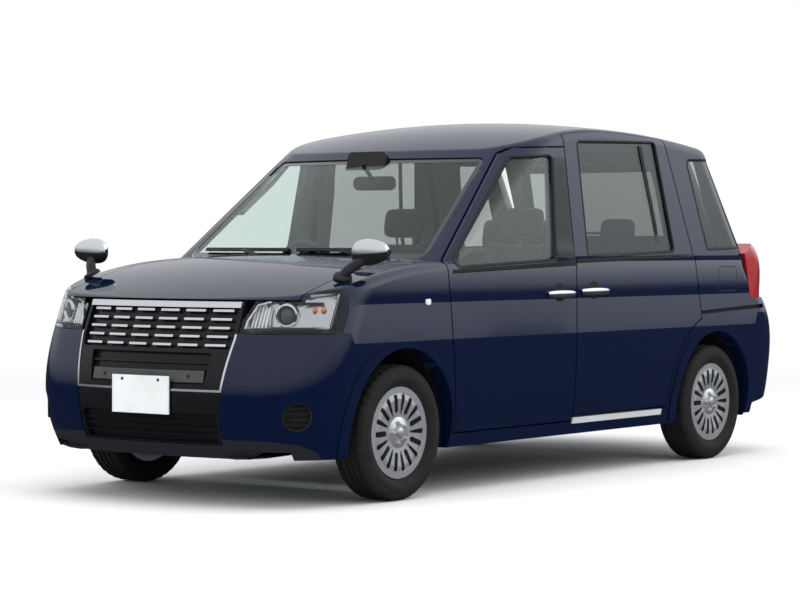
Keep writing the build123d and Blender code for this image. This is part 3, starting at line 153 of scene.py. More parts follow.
# Which way a panel's inner faces look: the sign and axis of their normal. Those of the sides look to the middle
INNER_FACES = {"side": None, "roof": (-1, "Z"), "gate": (1, "X"), "lid": (-1, "Z")}
INNER_TURN = 0.35
NAVY = colour(0.0018, 0.0048, 0.0200)
NAVY_FLAKE = colour(0.0032, 0.0082, 0.0320)
GLASS_MIRROR = 0.035
TRIM_DARK = colour(0.028, 0.028, 0.030)
TRIM_PALE = colour(0.36, 0.37, 0.36)
LID_LINING = colour(0.01, 0.012, 0.02)
BELT = 1.06
PAINT_GLOSS = 1.47
# Pressed lines along the body's sides: foot, top and depth of the two hollows that tip the panels up
LOWER_HOLLOW = (0.705, 0.872, 0.0150)
SHOULDER_HOLLOW = (0.892, 1.050, 0.0140)


def paint_look(start, panel):
    """Clear coat over dark blue flakes, with trim cloth on the faces that look into the cabin."""
    normal = start.facing()
    place = start.place()
    if panel == "side":
        inner = (normal.part("Y") * start.math("SIGN", place.part("Y")) * -1).above(INNER_TURN)
    else:
        sign, axis = INNER_FACES[panel]
        inner = (normal.part(axis) * sign).above(INNER_TURN)
    flakes = start.cells(1400)
    blue = flakes.mixed(NAVY, NAVY_FLAKE)
    high = place.part("Z").above(BELT)
    lining = high.mixed(TRIM_DARK, TRIM_PALE) if panel != "lid" else LID_LINING
    peel = start.noise(260, 1)
    grain = start.noise(700, 3)
    relief = peel * (1 - inner) * 0.12 + grain * inner
    normal = relief.bump(0.05, 0.0003)
    if panel == "side":
        foot, top, depth = LOWER_HOLLOW
        lower = place.part("Z").between(foot, top) * -depth
        foot, top, depth = SHOULDER_HOLLOW
        rise = place.part("Z").between(foot, top)
        pressed = lower + rise * rise * -depth
        normal = pressed.bump(1.0, 1.0, normal)
    return start.surface(Base_Color=inner.mixed(blue, lining), Roughness=0.03 + inner * 0.8, IOR=PAINT_GLOSS,
                         Normal=normal)


def glass_look(start, tint, border=None):
    """A thin pane: clear straight on, mirror-like at a slant, with a black border where the pane has one."""
    slant = start.node("LayerWeight", None, {"Blend": 0.5}, "Facing")
    mirror = GLASS_MIRROR + (1 - GLASS_MIRROR) * start.math("POWER", slant, 5.0)
    gloss = start.node("BsdfGlossy", None, {"Color": colour(0.96, 0.98, 0.98), "Roughness": 0.012})
    clear = start.node("BsdfTransparent", None, {"Color": colour(*tint)})
    pane = start.node("MixShader", None, {0: mirror, 1: clear, 2: gloss})
    if border is None:
        return pane
    low, high, foot_half, top_half, band = border
    place = start.place()
    height = place.part("Z")
    half = foot_half - (height - low) * ((foot_half - top_half) / (high - low))
    edge = start.math("ABSOLUTE", place.part("Y"))
    dark = start.math("MAXIMUM", edge.above(half - band), height.above(high - band))
    dark = start.math("MAXIMUM", dark, 1 - height.above(low + band))
    enamel = start.surface(Base_Color=colour(0.004, 0.004, 0.005), Roughness=0.1, Coat_Weight=1.0,
                           Coat_Roughness=0.02)
    return start.node("MixShader", None, {0: dark, 1: pane, 2: enamel})


def lens_look(start, shade, ribs):
    """A moulded lamp lens with fine ribs inside."""
    fluting = start.waves(ribs, "Y") * start.waves(ribs, "Z")
    dark = fluting.mixed(colour(*shade), colour(*[part * 0.45 for part in shade]))
    return start.surface(Base_Color=dark, Roughness=0.12 + fluting * 0.08, Coat_Weight=1.0,
                         Coat_Roughness=0.02, Normal=fluting.bump(0.25, 0.0015))


def moulded_look(start, shade, rough, grain):
    """Grained plastic, a little paler where it is handled."""
    worn = start.noise(6, 3)
    pits = start.noise(grain, 3)
    pale = [min(1, part * 1.4 + 0.002) for part in shade]
    return start.surface(Base_Color=worn.mixed(colour(*shade), colour(*pale)), Roughness=rough + worn * 0.12,
                         Specular_IOR_Level=0.22, Normal=pits.bump(0.18, 0.0006))


def metal_look(start, shade, rough, brushed):
    """Plated, painted or cast metal with a faint haze and, where brushed, fine lines."""
    haze = start.noise(9, 4)
    lines = start.noise(brushed, 3)
    dull = [part * 0.82 for part in shade]
    return start.surface(Base_Color=haze.mixed(colour(*shade), colour(*dull)), Metallic=1.0,
                         Roughness=rough + haze * 0.06, Normal=lines.bump(0.05, 0.0004))


def silver_look(start):
    """Silver paint with fine flakes and dust in the corners."""
    flakes = start.cells(1800)
    dust = start.noise(14, 4)
    silver = flakes.mixed(colour(0.50, 0.51, 0.53), colour(0.70, 0.71, 0.73))
    return start.surface(Base_Color=(dust * 0.25).mixed(silver, colour(0.30, 0.29, 0.27)), Metallic=0.75,
                         Roughness=0.24 + dust * 0.12, Coat_Weight=0.6, Coat_Roughness=0.06)


def rubber_look(start):
    """Tyre rubber with moulded pores and road dust."""
    dust = start.noise(11, 5)
    pores = start.noise(420, 3)
    return start.surface(Base_Color=dust.mixed(colour(0.010, 0.010, 0.0105), colour(0.022, 0.0215, 0.021)),
                         Roughness=0.62 + dust * 0.2, Specular_IOR_Level=0.15, Normal=pores.bump(0.2, 0.0008))


def cloth_look(start, shade):
    """Woven seat cloth: two crossed threads under a soft sheen."""
    weave = start.waves(300, "Y") * start.waves(300, "Z") + start.waves(300, "X") * 0.4
    mottle = start.noise(30, 4)
    pale = [part * 1.9 for part in shade]
    return start.surface(Base_Color=(weave * mottle).mixed(colour(*shade), colour(*pale)), Roughness=0.86,
                         Sheen_Weight=0.25, Normal=weave.bump(0.3, 0.0006))


CHROME = finish("bright_plating", metal_look, (0.80, 0.81, 0.83), 0.045, 60)
BLACK_MOULDING = finish("black_moulding", moulded_look, (0.010, 0.010, 0.011), 0.34, 900)
GLOSS_BLACK = finish("gloss_black_moulding", moulded_look, (0.006, 0.006, 0.007), 0.16, 500)
DARK_STEEL = finish("black_painted_steel", moulded_look, (0.022, 0.022, 0.024), 0.5, 300)
CABIN_MOULDING = finish("cabin_moulding", moulded_look, (0.030, 0.030, 0.032), 0.55, 800)
UNDERCOAT = finish("underbody_coat", moulded_look, (0.016, 0.016, 0.016), 0.75, 160)
WHITE_PLATE = finish("white_plate_enamel", moulded_look, (0.66, 0.67, 0.67), 0.28, 120)
CAST_ALLOY = finish("cast_alloy", metal_look, (0.42, 0.43, 0.44), 0.42, 240)
PIPE_STEEL = finish("dull_pipe_steel", metal_look, (0.38, 0.35, 0.32), 0.36, 120)
SILVER = finish("silver_wheel_paint", silver_look)
RUBBER = finish("tyre_rubber", rubber_look)
SEAT_CLOTH = finish("dark_seat_cloth", cloth_look, (0.030, 0.030, 0.033))
# Black borders of the panes: foot and top, half width at the foot and at the top, and the band's width
SCREEN_BORDER = (1.066, 1.545, 0.715, 0.625, 0.024)
GATE_BORDER = (1.150, 1.560, 0.585, 0.500, 0.030)
CLEAR_GLASS = finish("clear_glass", glass_look, (0.90, 0.945, 0.925))
SCREEN_GLASS = finish("windscreen_glass", glass_look, (0.89, 0.940, 0.920), SCREEN_BORDER)
PRIVACY_GLASS = finish("privacy_glass", glass_look, (0.60, 0.61, 0.61))
GATE_GLASS = finish("tailgate_glass", glass_look, (0.60, 0.61, 0.61), GATE_BORDER)
LAMP_LENS = finish("clear_lamp_lens", glass_look, (0.97, 0.975, 0.98))
SEAL_RUBBER = finish("window_seal_rubber", moulded_look, (0.008, 0.008, 0.0085), 0.45, 600)
MIRROR_GLASS = finish("mirror_glass", metal_look, (0.86, 0.87, 0.88), 0.01, 20)
LAMP_BOWL = finish("lamp_bowl_plating", metal_look, (0.62, 0.63, 0.65), 0.16, 90)
GREY_STRIP = finish("grey_strip_moulding", moulded_look, (0.055, 0.056, 0.058), 0.4, 700)
SILL_PAINT = finish("silver_sill_paint", moulded_look, (0.42, 0.43, 0.44), 0.35, 300)
RED_LENS = finish("red_lamp_lens", lens_look, (0.42, 0.008, 0.012), 55)
AMBER_LENS = finish("amber_lamp_lens", lens_look, (0.75, 0.20, 0.02), 90)
WHITE_LENS = finish("white_lamp_lens", lens_look, (0.80, 0.82, 0.84), 90)
DARK_LENS = finish("projector_lens", moulded_look, (0.05, 0.055, 0.06), 0.06, 40)
PAINT = {panel: finish(f"navy_paint_{panel}", paint_look, panel) for panel in INNER_FACES}

NODE_FINISH = {
    "side": ["left_body_side", "right_body_side", "left_front_door", "right_front_door", "sliding_door",
             "right_rear_door", "left_fender", "right_fender", "arch_flares"],
    "roof": ["roof_panel"],
    "gate": ["tailgate"],
    "lid": ["bonnet", "front_bumper", "rear_bumper"],
}
FINISHES = {
    "black_plastic": BLACK_MOULDING, "underbody_coat": UNDERCOAT, "chrome": CHROME, "plate": WHITE_PLATE,
    "clear_glass": CLEAR_GLASS, "tinted_glass": PRIVACY_GLASS, "lamp_lens": LAMP_LENS, "red_lens": RED_LENS,
    "engine_metal": CAST_ALLOY, "dark_steel": DARK_STEEL, "exhaust_steel": PIPE_STEEL,
    "cabin_plastic": CABIN_MOULDING, "seat_cover": SEAT_CLOTH, "tyre_rubber": RUBBER, "wheel_silver": SILVER,
}


def dress(node, material):
    """Gives a node of the model its material."""
    slots = NODES[node].data.materials
    slots.clear()
    slots.append(material)


for subpart in frame["record"]["subparts"]:
    if subpart["material_slot"] in FINISHES:
        dress(subpart["node"], FINISHES[subpart["material_slot"]])
for panel, members in NODE_FINISH.items():
    for member in members:
        dress(member, PAINT[panel])
dress("grille", GLOSS_BLACK)
dress("sill_strips", SILL_PAINT)
dress("windscreen", SCREEN_GLASS)
dress("tailgate_glass", GATE_GLASS)


# Mesh work
def piece(name, points, faces, material, body, smooth=True):
    """A mesh piece that rides on a body."""
    mesh = bpy.data.meshes.new(name)
    mesh.from_pydata([tuple(point) for point in points], [], faces)
    mesh.materials.append(material)
    tidy = bmesh.new()
    tidy.from_mesh(mesh)
    bmesh.ops.recalc_face_normals(tidy, faces=tidy.faces)
    tidy.to_mesh(mesh)
    tidy.free()
    made = bpy.data.objects.new(name, mesh)
    bpy.context.scene.collection.objects.link(made)
    if smooth:
        for polygon in mesh.polygons:
            polygon.use_smooth = True
        mesh.set_sharp_from_angle(angle=math.radians(38))
    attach(made, body)
    return made


class Stock:
    """Points and faces that gather into one joined piece."""

    def __init__(self):
        self.points = []
        self.faces = []

    def grid(self, rows, closed_rows=False, closed_columns=False, caps=False):
        """A sheet through rows of points, with its rows or columns closed into rings."""
        start = len(self.points)
        high, wide = len(rows), len(rows[0])
        for row in rows:
            self.points.extend(Vector(point) for point in row)
        for row in range(high if closed_rows else high - 1):
            for column in range(wide if closed_columns else wide - 1):
                corners = [(row, column), (row, column + 1), (row + 1, column + 1), (row + 1, column)]
                self.faces.append([start + (r % high) * wide + c % wide for r, c in corners])
        if caps:
            self.faces.append([start + column for column in range(wide)])
            self.faces.append([start + (high - 1) * wide + column for column in range(wide)])
        return self

    def lathe(self, profile, centre, axis, segments, shape=None):
        """A turned form: rows of radius and height about an axis."""
        axis = Vector(axis).normalized()
        across = axis.orthogonal().normalized()
        other = axis.cross(across)
        rows = []
        for turn in range(segments):
            angle = 2 * math.pi * turn / segments
            out = across * math.cos(angle) + other * math.sin(angle)
            row = profile if shape is None else shape(profile, turn)
            rows.append([Vector(centre) + out * radius + axis * height for radius, height in row])
        return self.grid(rows, closed_rows=True)

    def tube(self, path, section, closed=False, up=(0, 0, 1)):
        """A section of across and up offsets, carried along a path."""
        rows = []
        count = len(path)
        path = [Vector(point) for point in path]
        for spot, point in enumerate(path):
            before = path[spot - 1] if spot or closed else point
            after = path[(spot + 1) % count] if spot < count - 1 or closed else point
            along = (after - before).normalized()
            side = along.cross(Vector(up)).normalized()
            lift = side.cross(along)
            rows.append([point + side * across + lift * rise for across, rise in section])
        return self.grid(rows, closed_rows=closed, closed_columns=True, caps=not closed)

    def made(self, name, material, body, slot, smooth=True):
        return piece(name, self.points, self.faces, material, body, smooth)


def round_section(radius, sides=10):
    return [(radius * math.cos(2 * math.pi * n / sides), radius * math.sin(2 * math.pi * n / sides))
            for n in range(sides)]


def flat_section(width, thick):
    across, rise = width / 2, thick / 2
    return [(-across, -rise), (across, -rise), (across, rise), (-across, rise)]


HANDS = (("left", 1), ("right", -1))

# Tyres: sidewall rings, four grooves and shoulder notches, in the section of the CAD tyre
TYRE_PROFILE = [
    (0.1905, -0.0600), (0.2060, -0.0660), (0.2180, -0.0770), (0.2300, -0.0868), (0.2360, -0.0872),
    (0.2400, -0.0905), (0.2560, -0.0905), (0.2580, -0.0888), (0.2700, -0.0880), (0.2800, -0.0850),
    (0.2885, -0.0795), (0.2950, -0.0735), (0.2990, -0.0680), (0.3004, -0.0600), (0.3006, -0.0500),
    (0.2930, -0.0480), (0.2930, -0.0420), (0.3008, -0.0400), (0.3009, -0.0190), (0.2930, -0.0170),
    (0.2930, -0.0100), (0.3010, -0.0080), (0.3010, 0.0),
]
TYRE_PROFILE += [(radius, -height) for radius, height in reversed(TYRE_PROFILE[:-1])]
NOTCH_DEPTH = 0.006
TYRE_TURNS = 168
SHOULDER = (11, 12, 13, 14)
AXLES = {"front": 1.4, "rear": -1.35}
HUB_Z = 0.301
TRACK = 0.742


def notched(profile, turn):
    """The tyre's profile with a notch cut in both shoulders at every fourth step round it."""
    if turn % 4:
        return profile
    last = len(profile) - 1
    cut = set(SHOULDER) | {last - spot for spot in SHOULDER}
    return [(radius - NOTCH_DEPTH, height) if spot in cut else (radius, height)
            for spot, (radius, height) in enumerate(profile)]


LUG_COUNT = 5
LUG_CIRCLE = 0.046
COVER_FACE = 0.0731
# Turned forms on the wheels, as radius and height
HUB_CAP = [(0.0, 0.0105), (0.016, 0.0100), (0.022, 0.0080), (0.0255, 0.003), (0.026, -0.004)]
WHEEL_NUT = [(0.0, 0.013), (0.006, 0.012), (0.0085, 0.008), (0.0095, 0.0), (0.013, -0.001), (0.013, -0.006)]
NUT_SINK = 0.002
BRAKE_DISC = [(0.062, 0.012), (0.150, 0.012), (0.158, 0.006), (0.158, -0.010), (0.062, -0.010)]
for end, axle_x in AXLES.items():
    for hand, side in HANDS:
        wheel = f"{hand}_{end}"
        centre = Vector((axle_x, side * TRACK, HUB_Z))
        outward = Vector((0, side, 0))
        tyre = Stock().lathe(TYRE_PROFILE, centre, outward, TYRE_TURNS, notched)
        treaded = tyre.made(f"{wheel}_treaded_tyre", RUBBER, f"{wheel}_wheel_set", "tyre_rubber")
        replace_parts(treaded, f"{wheel}_tyre")
        hub = Stock().lathe(HUB_CAP, centre + outward * COVER_FACE, outward, 40)
        for lug in range(LUG_COUNT):
            angle = 2 * math.pi * lug / LUG_COUNT
            reach = Vector((math.cos(angle), 0, math.sin(angle))) * LUG_CIRCLE
            hub.lathe(WHEEL_NUT, centre + reach + outward * (COVER_FACE - NUT_SINK), outward, 6)
        hub.made(f"{wheel}_hub_cap_and_nuts", SILVER, f"{wheel}_wheel_set", "wheel_silver")
        disc = Stock().lathe(BRAKE_DISC, centre, outward, 48)
        disc.made(f"{wheel}_brake_disc", PIPE_STEEL, f"{wheel}_wheel_set", "dark_steel")

# Laying pieces on the panels. Of each view: which axis is across, which is up, which is deep, and the way out
VIEWS = {"left": (0, 2, 1, 1), "right": (0, 2, 1, -1), "front": (1, 2, 0, 1), "rear": (1, 2, 0, -1)}
CORNER_STEPS = 6
OUTSIDE = 3.0
# Search trees of the nodes' meshes, made when a node is first asked for
TREES = {}


def rounded(corners, radius, grow=0.0, step=0.04):
    """A closed outline with round corners, set out by a distance and cut into short steps."""
    spots = [Vector(corner) for corner in corners]
    pairs = list(zip(spots, spots[1:] + spots[:1]))
    if sum(here.x * after.y - here.y * after.x for here, after in pairs) < 0:
        spots.reverse()
    arcs = []
    for before, here, after in zip(spots[-1:] + spots[:-1], spots, spots[1:] + spots[:1]):
        came, goes = (here - before).normalized(), (after - here).normalized()
        turn = math.atan2(came.x * goes.y - came.y * goes.x, came.dot(goes))
        outward = Vector((came.y, -came.x))
        centre = here - came * (radius * math.tan(turn / 2)) - outward * radius
        arcs.append([centre + Matrix.Rotation(turn * n / CORNER_STEPS, 2) @ outward * (radius + grow)
                     for n in range(CORNER_STEPS + 1)])
    outline = []
    for arc, after in zip(arcs, arcs[1:] + arcs[:1]):
        outline.extend(arc)
        cuts = max(1, round((after[0] - arc[-1]).length / step))
        outline.extend(arc[-1].lerp(after[0], n / cuts) for n in range(1, cuts))
    return outline


def spot_at(view, spot, depth):
    """The place of a view's spot at a depth."""
    across, up, deep, _ = VIEWS[view]
    place = Vector((0, 0, 0))
    place[across], place[up], place[deep] = spot[0], spot[1], depth
    return place


def skin_depth(node, view, spot):
    """How deep a node's skin lies behind a spot of a view."""
    deep, way = VIEWS[view][2:]
    if node not in TREES:
        mesh = NODES[node].data
        points = [point.co for point in mesh.vertices]
        TREES[node] = BVHTree.FromPolygons(points, [polygon.vertices for polygon in mesh.polygons])
    look = Vector((0, 0, 0))
    look[deep] = -way
    hit = TREES[node].ray_cast(spot_at(view, spot, way * OUTSIDE), look)[0]
    return None if hit is None else hit[deep]


def draped(node, view, spots, proud, over=None):
    """Spots of a view laid on a node's skin, proud of it. Their depth may be read over other spots."""
    way = VIEWS[view][3]
    depths = [skin_depth(node, view, spot) for spot in over or spots]
    known = next(depth for depth in depths if depth is not None)
    places = []
    for spot, depth in zip(spots, depths):
        known = known if depth is None else depth
        places.append(spot_at(view, spot, known + way * proud))
    return places


def seal(name, node, view, corners, radius, body, width=0.012, lift=0.0016, sink=0.0075, material=SEAL_RUBBER,
         slot="black_plastic"):
    """A seal round an opening: a band on the panel with a lip that turns down to the glass."""
    read = rounded(corners, radius, 0.0015)
    rows = [draped(node, view, rounded(corners, radius, -0.004), -sink, read),
            draped(node, view, rounded(corners, radius, 0.0005), lift * 0.6, read),
            draped(node, view, rounded(corners, radius, 0.003), lift, rounded(corners, radius, 0.003)),
            draped(node, view, rounded(corners, radius, width - 0.002), lift),
            draped(node, view, rounded(corners, radius, width), -0.0008)]
    return Stock().grid(rows, closed_columns=True).made(name, material, body, slot)


def plate(name, node, view, corners, radius, material, body, slot, lift=0.0012, rim=0.002, rings=5):
    """A thin plate on a panel: rings from its turned-down rim to its middle, laid on the skin."""
    rim_line = rounded(corners, radius)
    middle = sum(rim_line, Vector((0, 0))) / len(rim_line)
    rows = [draped(node, view, rim_line, -0.0010), draped(node, view, rim_line, lift * 0.7)]
    inner = rounded(corners, radius, -min(rim, radius * 0.8))
    for ring in range(rings):
        share = ring / (rings - 0.5)
        rows.append(draped(node, view, [spot.lerp(middle, share) for spot in inner], lift))
    stock = Stock().grid(rows, closed_columns=True)
    last = len(stock.points) - len(rim_line)
    stock.faces.append(list(range(last, len(stock.points))))
    return stock.made(name, material, body, slot)


def box_corners(low_across, low_up, high_across, high_up):
    return [(low_across, low_up), (high_across, low_up), (high_across, high_up), (low_across, high_up)]


def scaled(corners, share=0.001):
    """Millimetres to metres."""
    return [(across * share, up * share) for across, up in corners]


# Window seals: name, node, view, corners in millimetres, corner radius, body
FRONT_WINDOW = scaled([(1042, 1030), (388, 1546), (130, 1556), (185, 1062)])
REAR_WINDOW = scaled([(-115, 1079), (-115, 1632), (-843, 1651), (-936, 1099)])
QUARTER_WINDOW = scaled([(-1156, 1570), (-1440, 1577), (-1683, 1122), (-1286, 1110)])
GATE_WINDOW = scaled([(-585, 1150), (585, 1150), (500, 1560), (-500, 1560)])
SEALS = [
    ("left_front_window_seal", "left_front_door", "left", FRONT_WINDOW, 0.020, "left_front_door_leaf"),
    ("right_front_window_seal", "right_front_door", "right", FRONT_WINDOW, 0.020, "right_front_door_leaf"),
    ("sliding_window_seal", "sliding_door", "left", REAR_WINDOW, 0.020, "body"),
    ("right_rear_window_seal", "right_rear_door", "right", REAR_WINDOW, 0.020, "right_rear_door_leaf"),
    ("left_quarter_seal", "left_body_side", "left", QUARTER_WINDOW, 0.020, "body"),
    ("right_quarter_seal", "right_body_side", "right", QUARTER_WINDOW, 0.020, "body"),
    ("tailgate_window_seal", "tailgate", "rear", GATE_WINDOW, 0.040, "tailgate_leaf"),
]
for name, node, view, corners, radius, body in SEALS:
    seal(name, node, view, corners, radius, body)

# Dark trim on the doors: pillar covers, belt bands and window corners, as corners in millimetres
PILLAR_COVER = scaled([(15, 1066), (172, 1066), (119, 1552), (15, 1556)])
WINDOW_CORNER = scaled([(1042, 1031), (968, 1035), (944, 1104)])
FRONT_BELT = scaled([(15, 1030), (1040, 1000), (1040, 1018), (172, 1049), (15, 1060)])
REAR_BELT = scaled([(-1114, 1066), (5, 1042), (5, 1060), (-1110, 1086)])
for hand, side in HANDS:
    front, rear = f"{hand}_front_door", "sliding_door" if side > 0 else "right_rear_door"
    front_leaf = f"{hand}_front_door_leaf"
    rear_leaf = "body" if side > 0 else "right_rear_door_leaf"
    plate(f"{hand}_pillar_cover", front, hand, PILLAR_COVER, 0.004, GLOSS_BLACK, front_leaf, "black_plastic")
    plate(f"{hand}_window_corner", f"{hand}_front_window", hand, WINDOW_CORNER, 0.004, GLOSS_BLACK,
          front_leaf, "black_plastic")
    plate(f"{hand}_front_belt_band", front, hand, FRONT_BELT, 0.003, SEAL_RUBBER, front_leaf,
          "black_plastic", 0.002)
    plate(f"{hand}_rear_belt_band", rear, hand, REAR_BELT, 0.003, SEAL_RUBBER, rear_leaf,
          "black_plastic", 0.002)

# Headlamps: a plated bowl behind the lens, a bezel round it, a projector and an amber bulb box
LAMP_OUTLINE = scaled([(474, 760), (478, 803), (512, 876), (640, 912), (806, 926), (806, 768)])
LAMP_MIDDLE = Vector((0.640, 0.836))
BOWL_RINGS = ((0.99, -0.004), (0.97, -0.022), (0.90, -0.038), (0.60, -0.046), (0.10, -0.048))
PROJECTOR = (0.640, 0.828)
BULB_BOX = (0.752, 0.852)
RIB_LINES = (0.500, 0.516, 0.532, 0.548, 0.564)
# Turned forms in the lamps, as radius and height
PROJECTOR_RING = [(0.034, -0.010), (0.036, 0.006), (0.042, 0.014), (0.049, 0.010), (0.052, 0.0),
                  (0.052, -0.016)]
PROJECTOR_BALL = [(0.0, 0.016), (0.012, 0.0145), (0.022, 0.010), (0.030, 0.003), (0.034, -0.006)]
TURN_BULB = [(0.0, 0.014), (0.006, 0.012), (0.010, 0.006), (0.011, -0.008)]


def mirrored(points, side):
    """Points of the left side, or their mirror image on the right."""
    return [Vector((point[0], point[1] * side, point[2])) for point in points]


def lamp_place(spot, sink):
    """A place behind the left headlamp's lens."""
    return draped("headlamps", "front", [Vector(spot)], -sink)[0]


AHEAD = Vector((0.93, 0.36, 0.0)).normalized()
for hand, side in HANDS:
    bowl = Stock()
    rim = rounded(LAMP_OUTLINE, 0.012)
    rows = []
    for share, sink in BOWL_RINGS:
        ring = [LAMP_MIDDLE.lerp(spot, share) for spot in rim]
        rows.append(mirrored(draped("headlamps", "front", ring, sink), side))
    bowl.grid(rows, closed_columns=True)
    bowl.faces.append(list(range(len(bowl.points) - len(rim), len(bowl.points))))
    bowl.made(f"{hand}_lamp_bowl", LAMP_BOWL, "body", "chrome")

    bezel = Stock()
    ring = draped("headlamps", "front", rounded(LAMP_OUTLINE, 0.012, -0.007), -0.008)
    bezel.tube(mirrored(ring, side), flat_section(0.007, 0.010), closed=True, up=(1, 0, 0))
    eye = mirrored([lamp_place(PROJECTOR, 0.030)], side)[0]
    aim = Vector((AHEAD.x, AHEAD.y * side, 0))
    bezel.lathe(PROJECTOR_RING, eye, aim, 48)
    for height in (0.776, 0.882):
        shelf = [lamp_place((across, height), 0.026) for across in (0.585, 0.640, 0.700, 0.760)]
        bezel.tube(mirrored(shelf, side), flat_section(0.030, 0.003), up=(0, 0, 1))
    bezel.made(f"{hand}_lamp_bezel", CHROME, "body", "chrome")

    ball = Stock().lathe(PROJECTOR_BALL, eye, aim, 40)
    ball.made(f"{hand}_lamp_projector", DARK_LENS, "body", "lamp_lens")

    ribs = Stock()
    for across in RIB_LINES:
        upright = [lamp_place((across, height), 0.024) for height in (0.772, 0.800, 0.830, 0.862)]
        ribs.tube(mirrored(upright, side), flat_section(0.009, 0.006), up=(0, 1, 0))
    ribs.made(f"{hand}_lamp_ribs", WHITE_LENS, "body", "lamp_lens")

    amber = Stock()
    for step in (-0.016, 0.010):
        bulb = mirrored([lamp_place((BULB_BOX[0] + step, BULB_BOX[1]), 0.030)], side)[0]
        amber.lathe(TURN_BULB, bulb, aim, 20)
    amber.made(f"{hand}_turn_bulbs", AMBER_LENS, "body", "lamp_lens")

# Side markers on the fenders, fuel lid, middle rail
MARKER = box_corners(1.214, 0.862, 1.254, 0.889)
for hand, side in HANDS:
    plate(f"{hand}_side_marker", f"{hand}_fender", hand, MARKER, 0.011, WHITE_LENS, "body", "lamp_lens",
          0.005, 0.004)
FUEL_LID = box_corners(-1.566, 0.889, -1.380, 1.014)
seal("fuel_lid_gap", "left_body_side", "left", FUEL_LID, 0.022, "body", 0.0035, 0.0004, 0.0006)
RAIL_LINE = [(-1.195, 0.777), (-1.40, 0.7835), (-1.60, 0.790), (-1.80, 0.7965), (-1.865, 0.7985)]
rail = draped("left_body_side", "left", [Vector(spot) for spot in RAIL_LINE], 0.0010)
rail_lining = Stock().tube(rail, flat_section(0.018, 0.003), up=(0, 1, 0))
rail_lining.made("middle_rail_lining", SEAL_RUBBER, "body", "black_plastic")

# Door handle cups: a flat dark oval plate on the door behind each grip, painted shade in place of the hollow of
# the cup
CUP_SHADE_HALVES = (0.056, 0.044)
CUP_SHADE_STEPS = 16
HANDLE_CUP_SHADES = [
    ("left_front", "left_front_door", "left", 0.160, 0.902, "left_front_door_leaf"),
    ("sliding", "sliding_door", "left", -0.144, 0.910, "body"),
    ("right_front", "right_front_door", "right", 0.160, 0.902, "right_front_door_leaf"),
    ("right_rear", "right_rear_door", "right", -0.144, 0.910, "right_rear_door_leaf"),
]
for name, node, view, across, up, body in HANDLE_CUP_SHADES:
    turns = [2 * math.pi * n / CUP_SHADE_STEPS for n in range(CUP_SHADE_STEPS)]
    oval = [(across + CUP_SHADE_HALVES[0] * math.cos(turn), up + CUP_SHADE_HALVES[1] * math.sin(turn)) for turn in turns]
    # Each plate is dark rubber laid on the paint: painted shade where the recess behind the grip would be
    plate(f"{name}_handle_cup_shade", node, view, oval, 0.006, SEAL_RUBBER, body, "black_plastic", 0.0008, 0.002, 3)

# Number plate: a turned rim and two bolts, with nothing on its face
PLATE_FACE = 2.1983
PLATE_CORNERS = box_corners(-0.163, 0.398, 0.163, 0.560)
rim = [Vector((PLATE_FACE + 0.0004, spot.x, spot.y)) for spot in rounded(PLATE_CORNERS, 0.010, -0.003)]
plate_rim = Stock().tube(rim, round_section(0.0016, 8), closed=True, up=(1, 0, 0))
plate_rim.made("plate_rim", WHITE_PLATE, "body", "plate")
BOLT = [(0.0, 0.0042), (0.004, 0.0040), (0.0062, 0.0025), (0.0070, 0.0), (0.0072, -0.0015)]
bolts = Stock()
for across in (-0.105, 0.105):
    bolts.lathe(BOLT, (PLATE_FACE, across, 0.544), (1, 0, 0), 18)
for across in (-0.245, 0.245):
    bolts.lathe([(radius * 1.3, rise * 1.4) for radius, rise in BOLT],
                draped("grille", "front", [Vector((across, 0.562))], 0.0)[0], (1, 0, 0), 18)
bolts.made("plate_and_strip_bolts", DARK_STEEL, "body", "dark_steel")
GREY_BAND = box_corners(-0.322, 0.537, 0.322, 0.587)
plate("grey_intake_strip", "grille", "front", GREY_BAND, 0.004, GREY_STRIP, "body", "black_plastic", 0.0012)

# Wipers: arms from the cowl and blades along the foot of the screen, as y and z on the glass
WIPERS = [
    ("driver", (-0.60, -0.02), 1.106, (-0.10, 1.062)),
    ("passenger", (0.03, 0.52), 1.106, (0.48, 1.062)),
]
for name, (low, high), height, (pivot_y, pivot_z) in WIPERS:
    count = 13
    blade = [Vector((low + (high - low) * n / (count - 1), height)) for n in range(count)]
    wiper = Stock()
    wiper.tube(draped("windscreen", "front", blade, 0.010), flat_section(0.004, 0.018), up=(1, 0, 0.6))
    wiper.tube(draped("windscreen", "front", blade, 0.022), flat_section(0.016, 0.007), up=(1, 0, 0.6))
    pivot = draped("cowl", "front", [Vector((pivot_y, pivot_z))], 0.012)[0]
    grip = draped("windscreen", "front", [Vector(((low + high) / 2, height))], 0.030)[0]
    bend = pivot.lerp(grip, 0.5) + Vector((0.012, 0, 0.006))
    wiper.tube([pivot, bend, grip], flat_section(0.018, 0.009), up=(1, 0, 0.6))
    wiper.lathe([(0.0, 0.020), (0.010, 0.019), (0.015, 0.012), (0.017, -0.012)], pivot, (0.6, 0, 0.8), 24)
    wiper.made(f"{name}_wiper", BLACK_MOULDING, "body", "black_plastic")

# Fender mirrors: plated caps over dark housings on raked stems
MIRROR_MIDDLE = Vector((1.630, 0.830, 1.095))
MIRROR_HALF = Vector((0.048, 0.0965, 0.062))
MIRROR_STATIONS = [-0.985, -0.95, -0.88, -0.75, -0.55, -0.3, 0.0, 0.3, 0.55, 0.75, 0.88, 0.95, 0.985]
CAP_START, CAP_END = -4, 176
STEM = [(1.722, 0.745, 0.992), (1.712, 0.756, 1.012), (1.694, 0.778, 1.034), (1.668, 0.800, 1.056),
        (1.648, 0.815, 1.075)]
STEM_SECTION = [(across * 1.5, rise) for across, rise in round_section(0.017, 16)]
STEM_FOOT = [(0.0, 0.012), (0.030, 0.010), (0.040, 0.004), (0.043, -0.012)]
FLAT_BACK = 0.55


def power(value, exponent):
    """A signed power, which squares off a round section."""
    return math.copysign(abs(value) ** exponent, value)


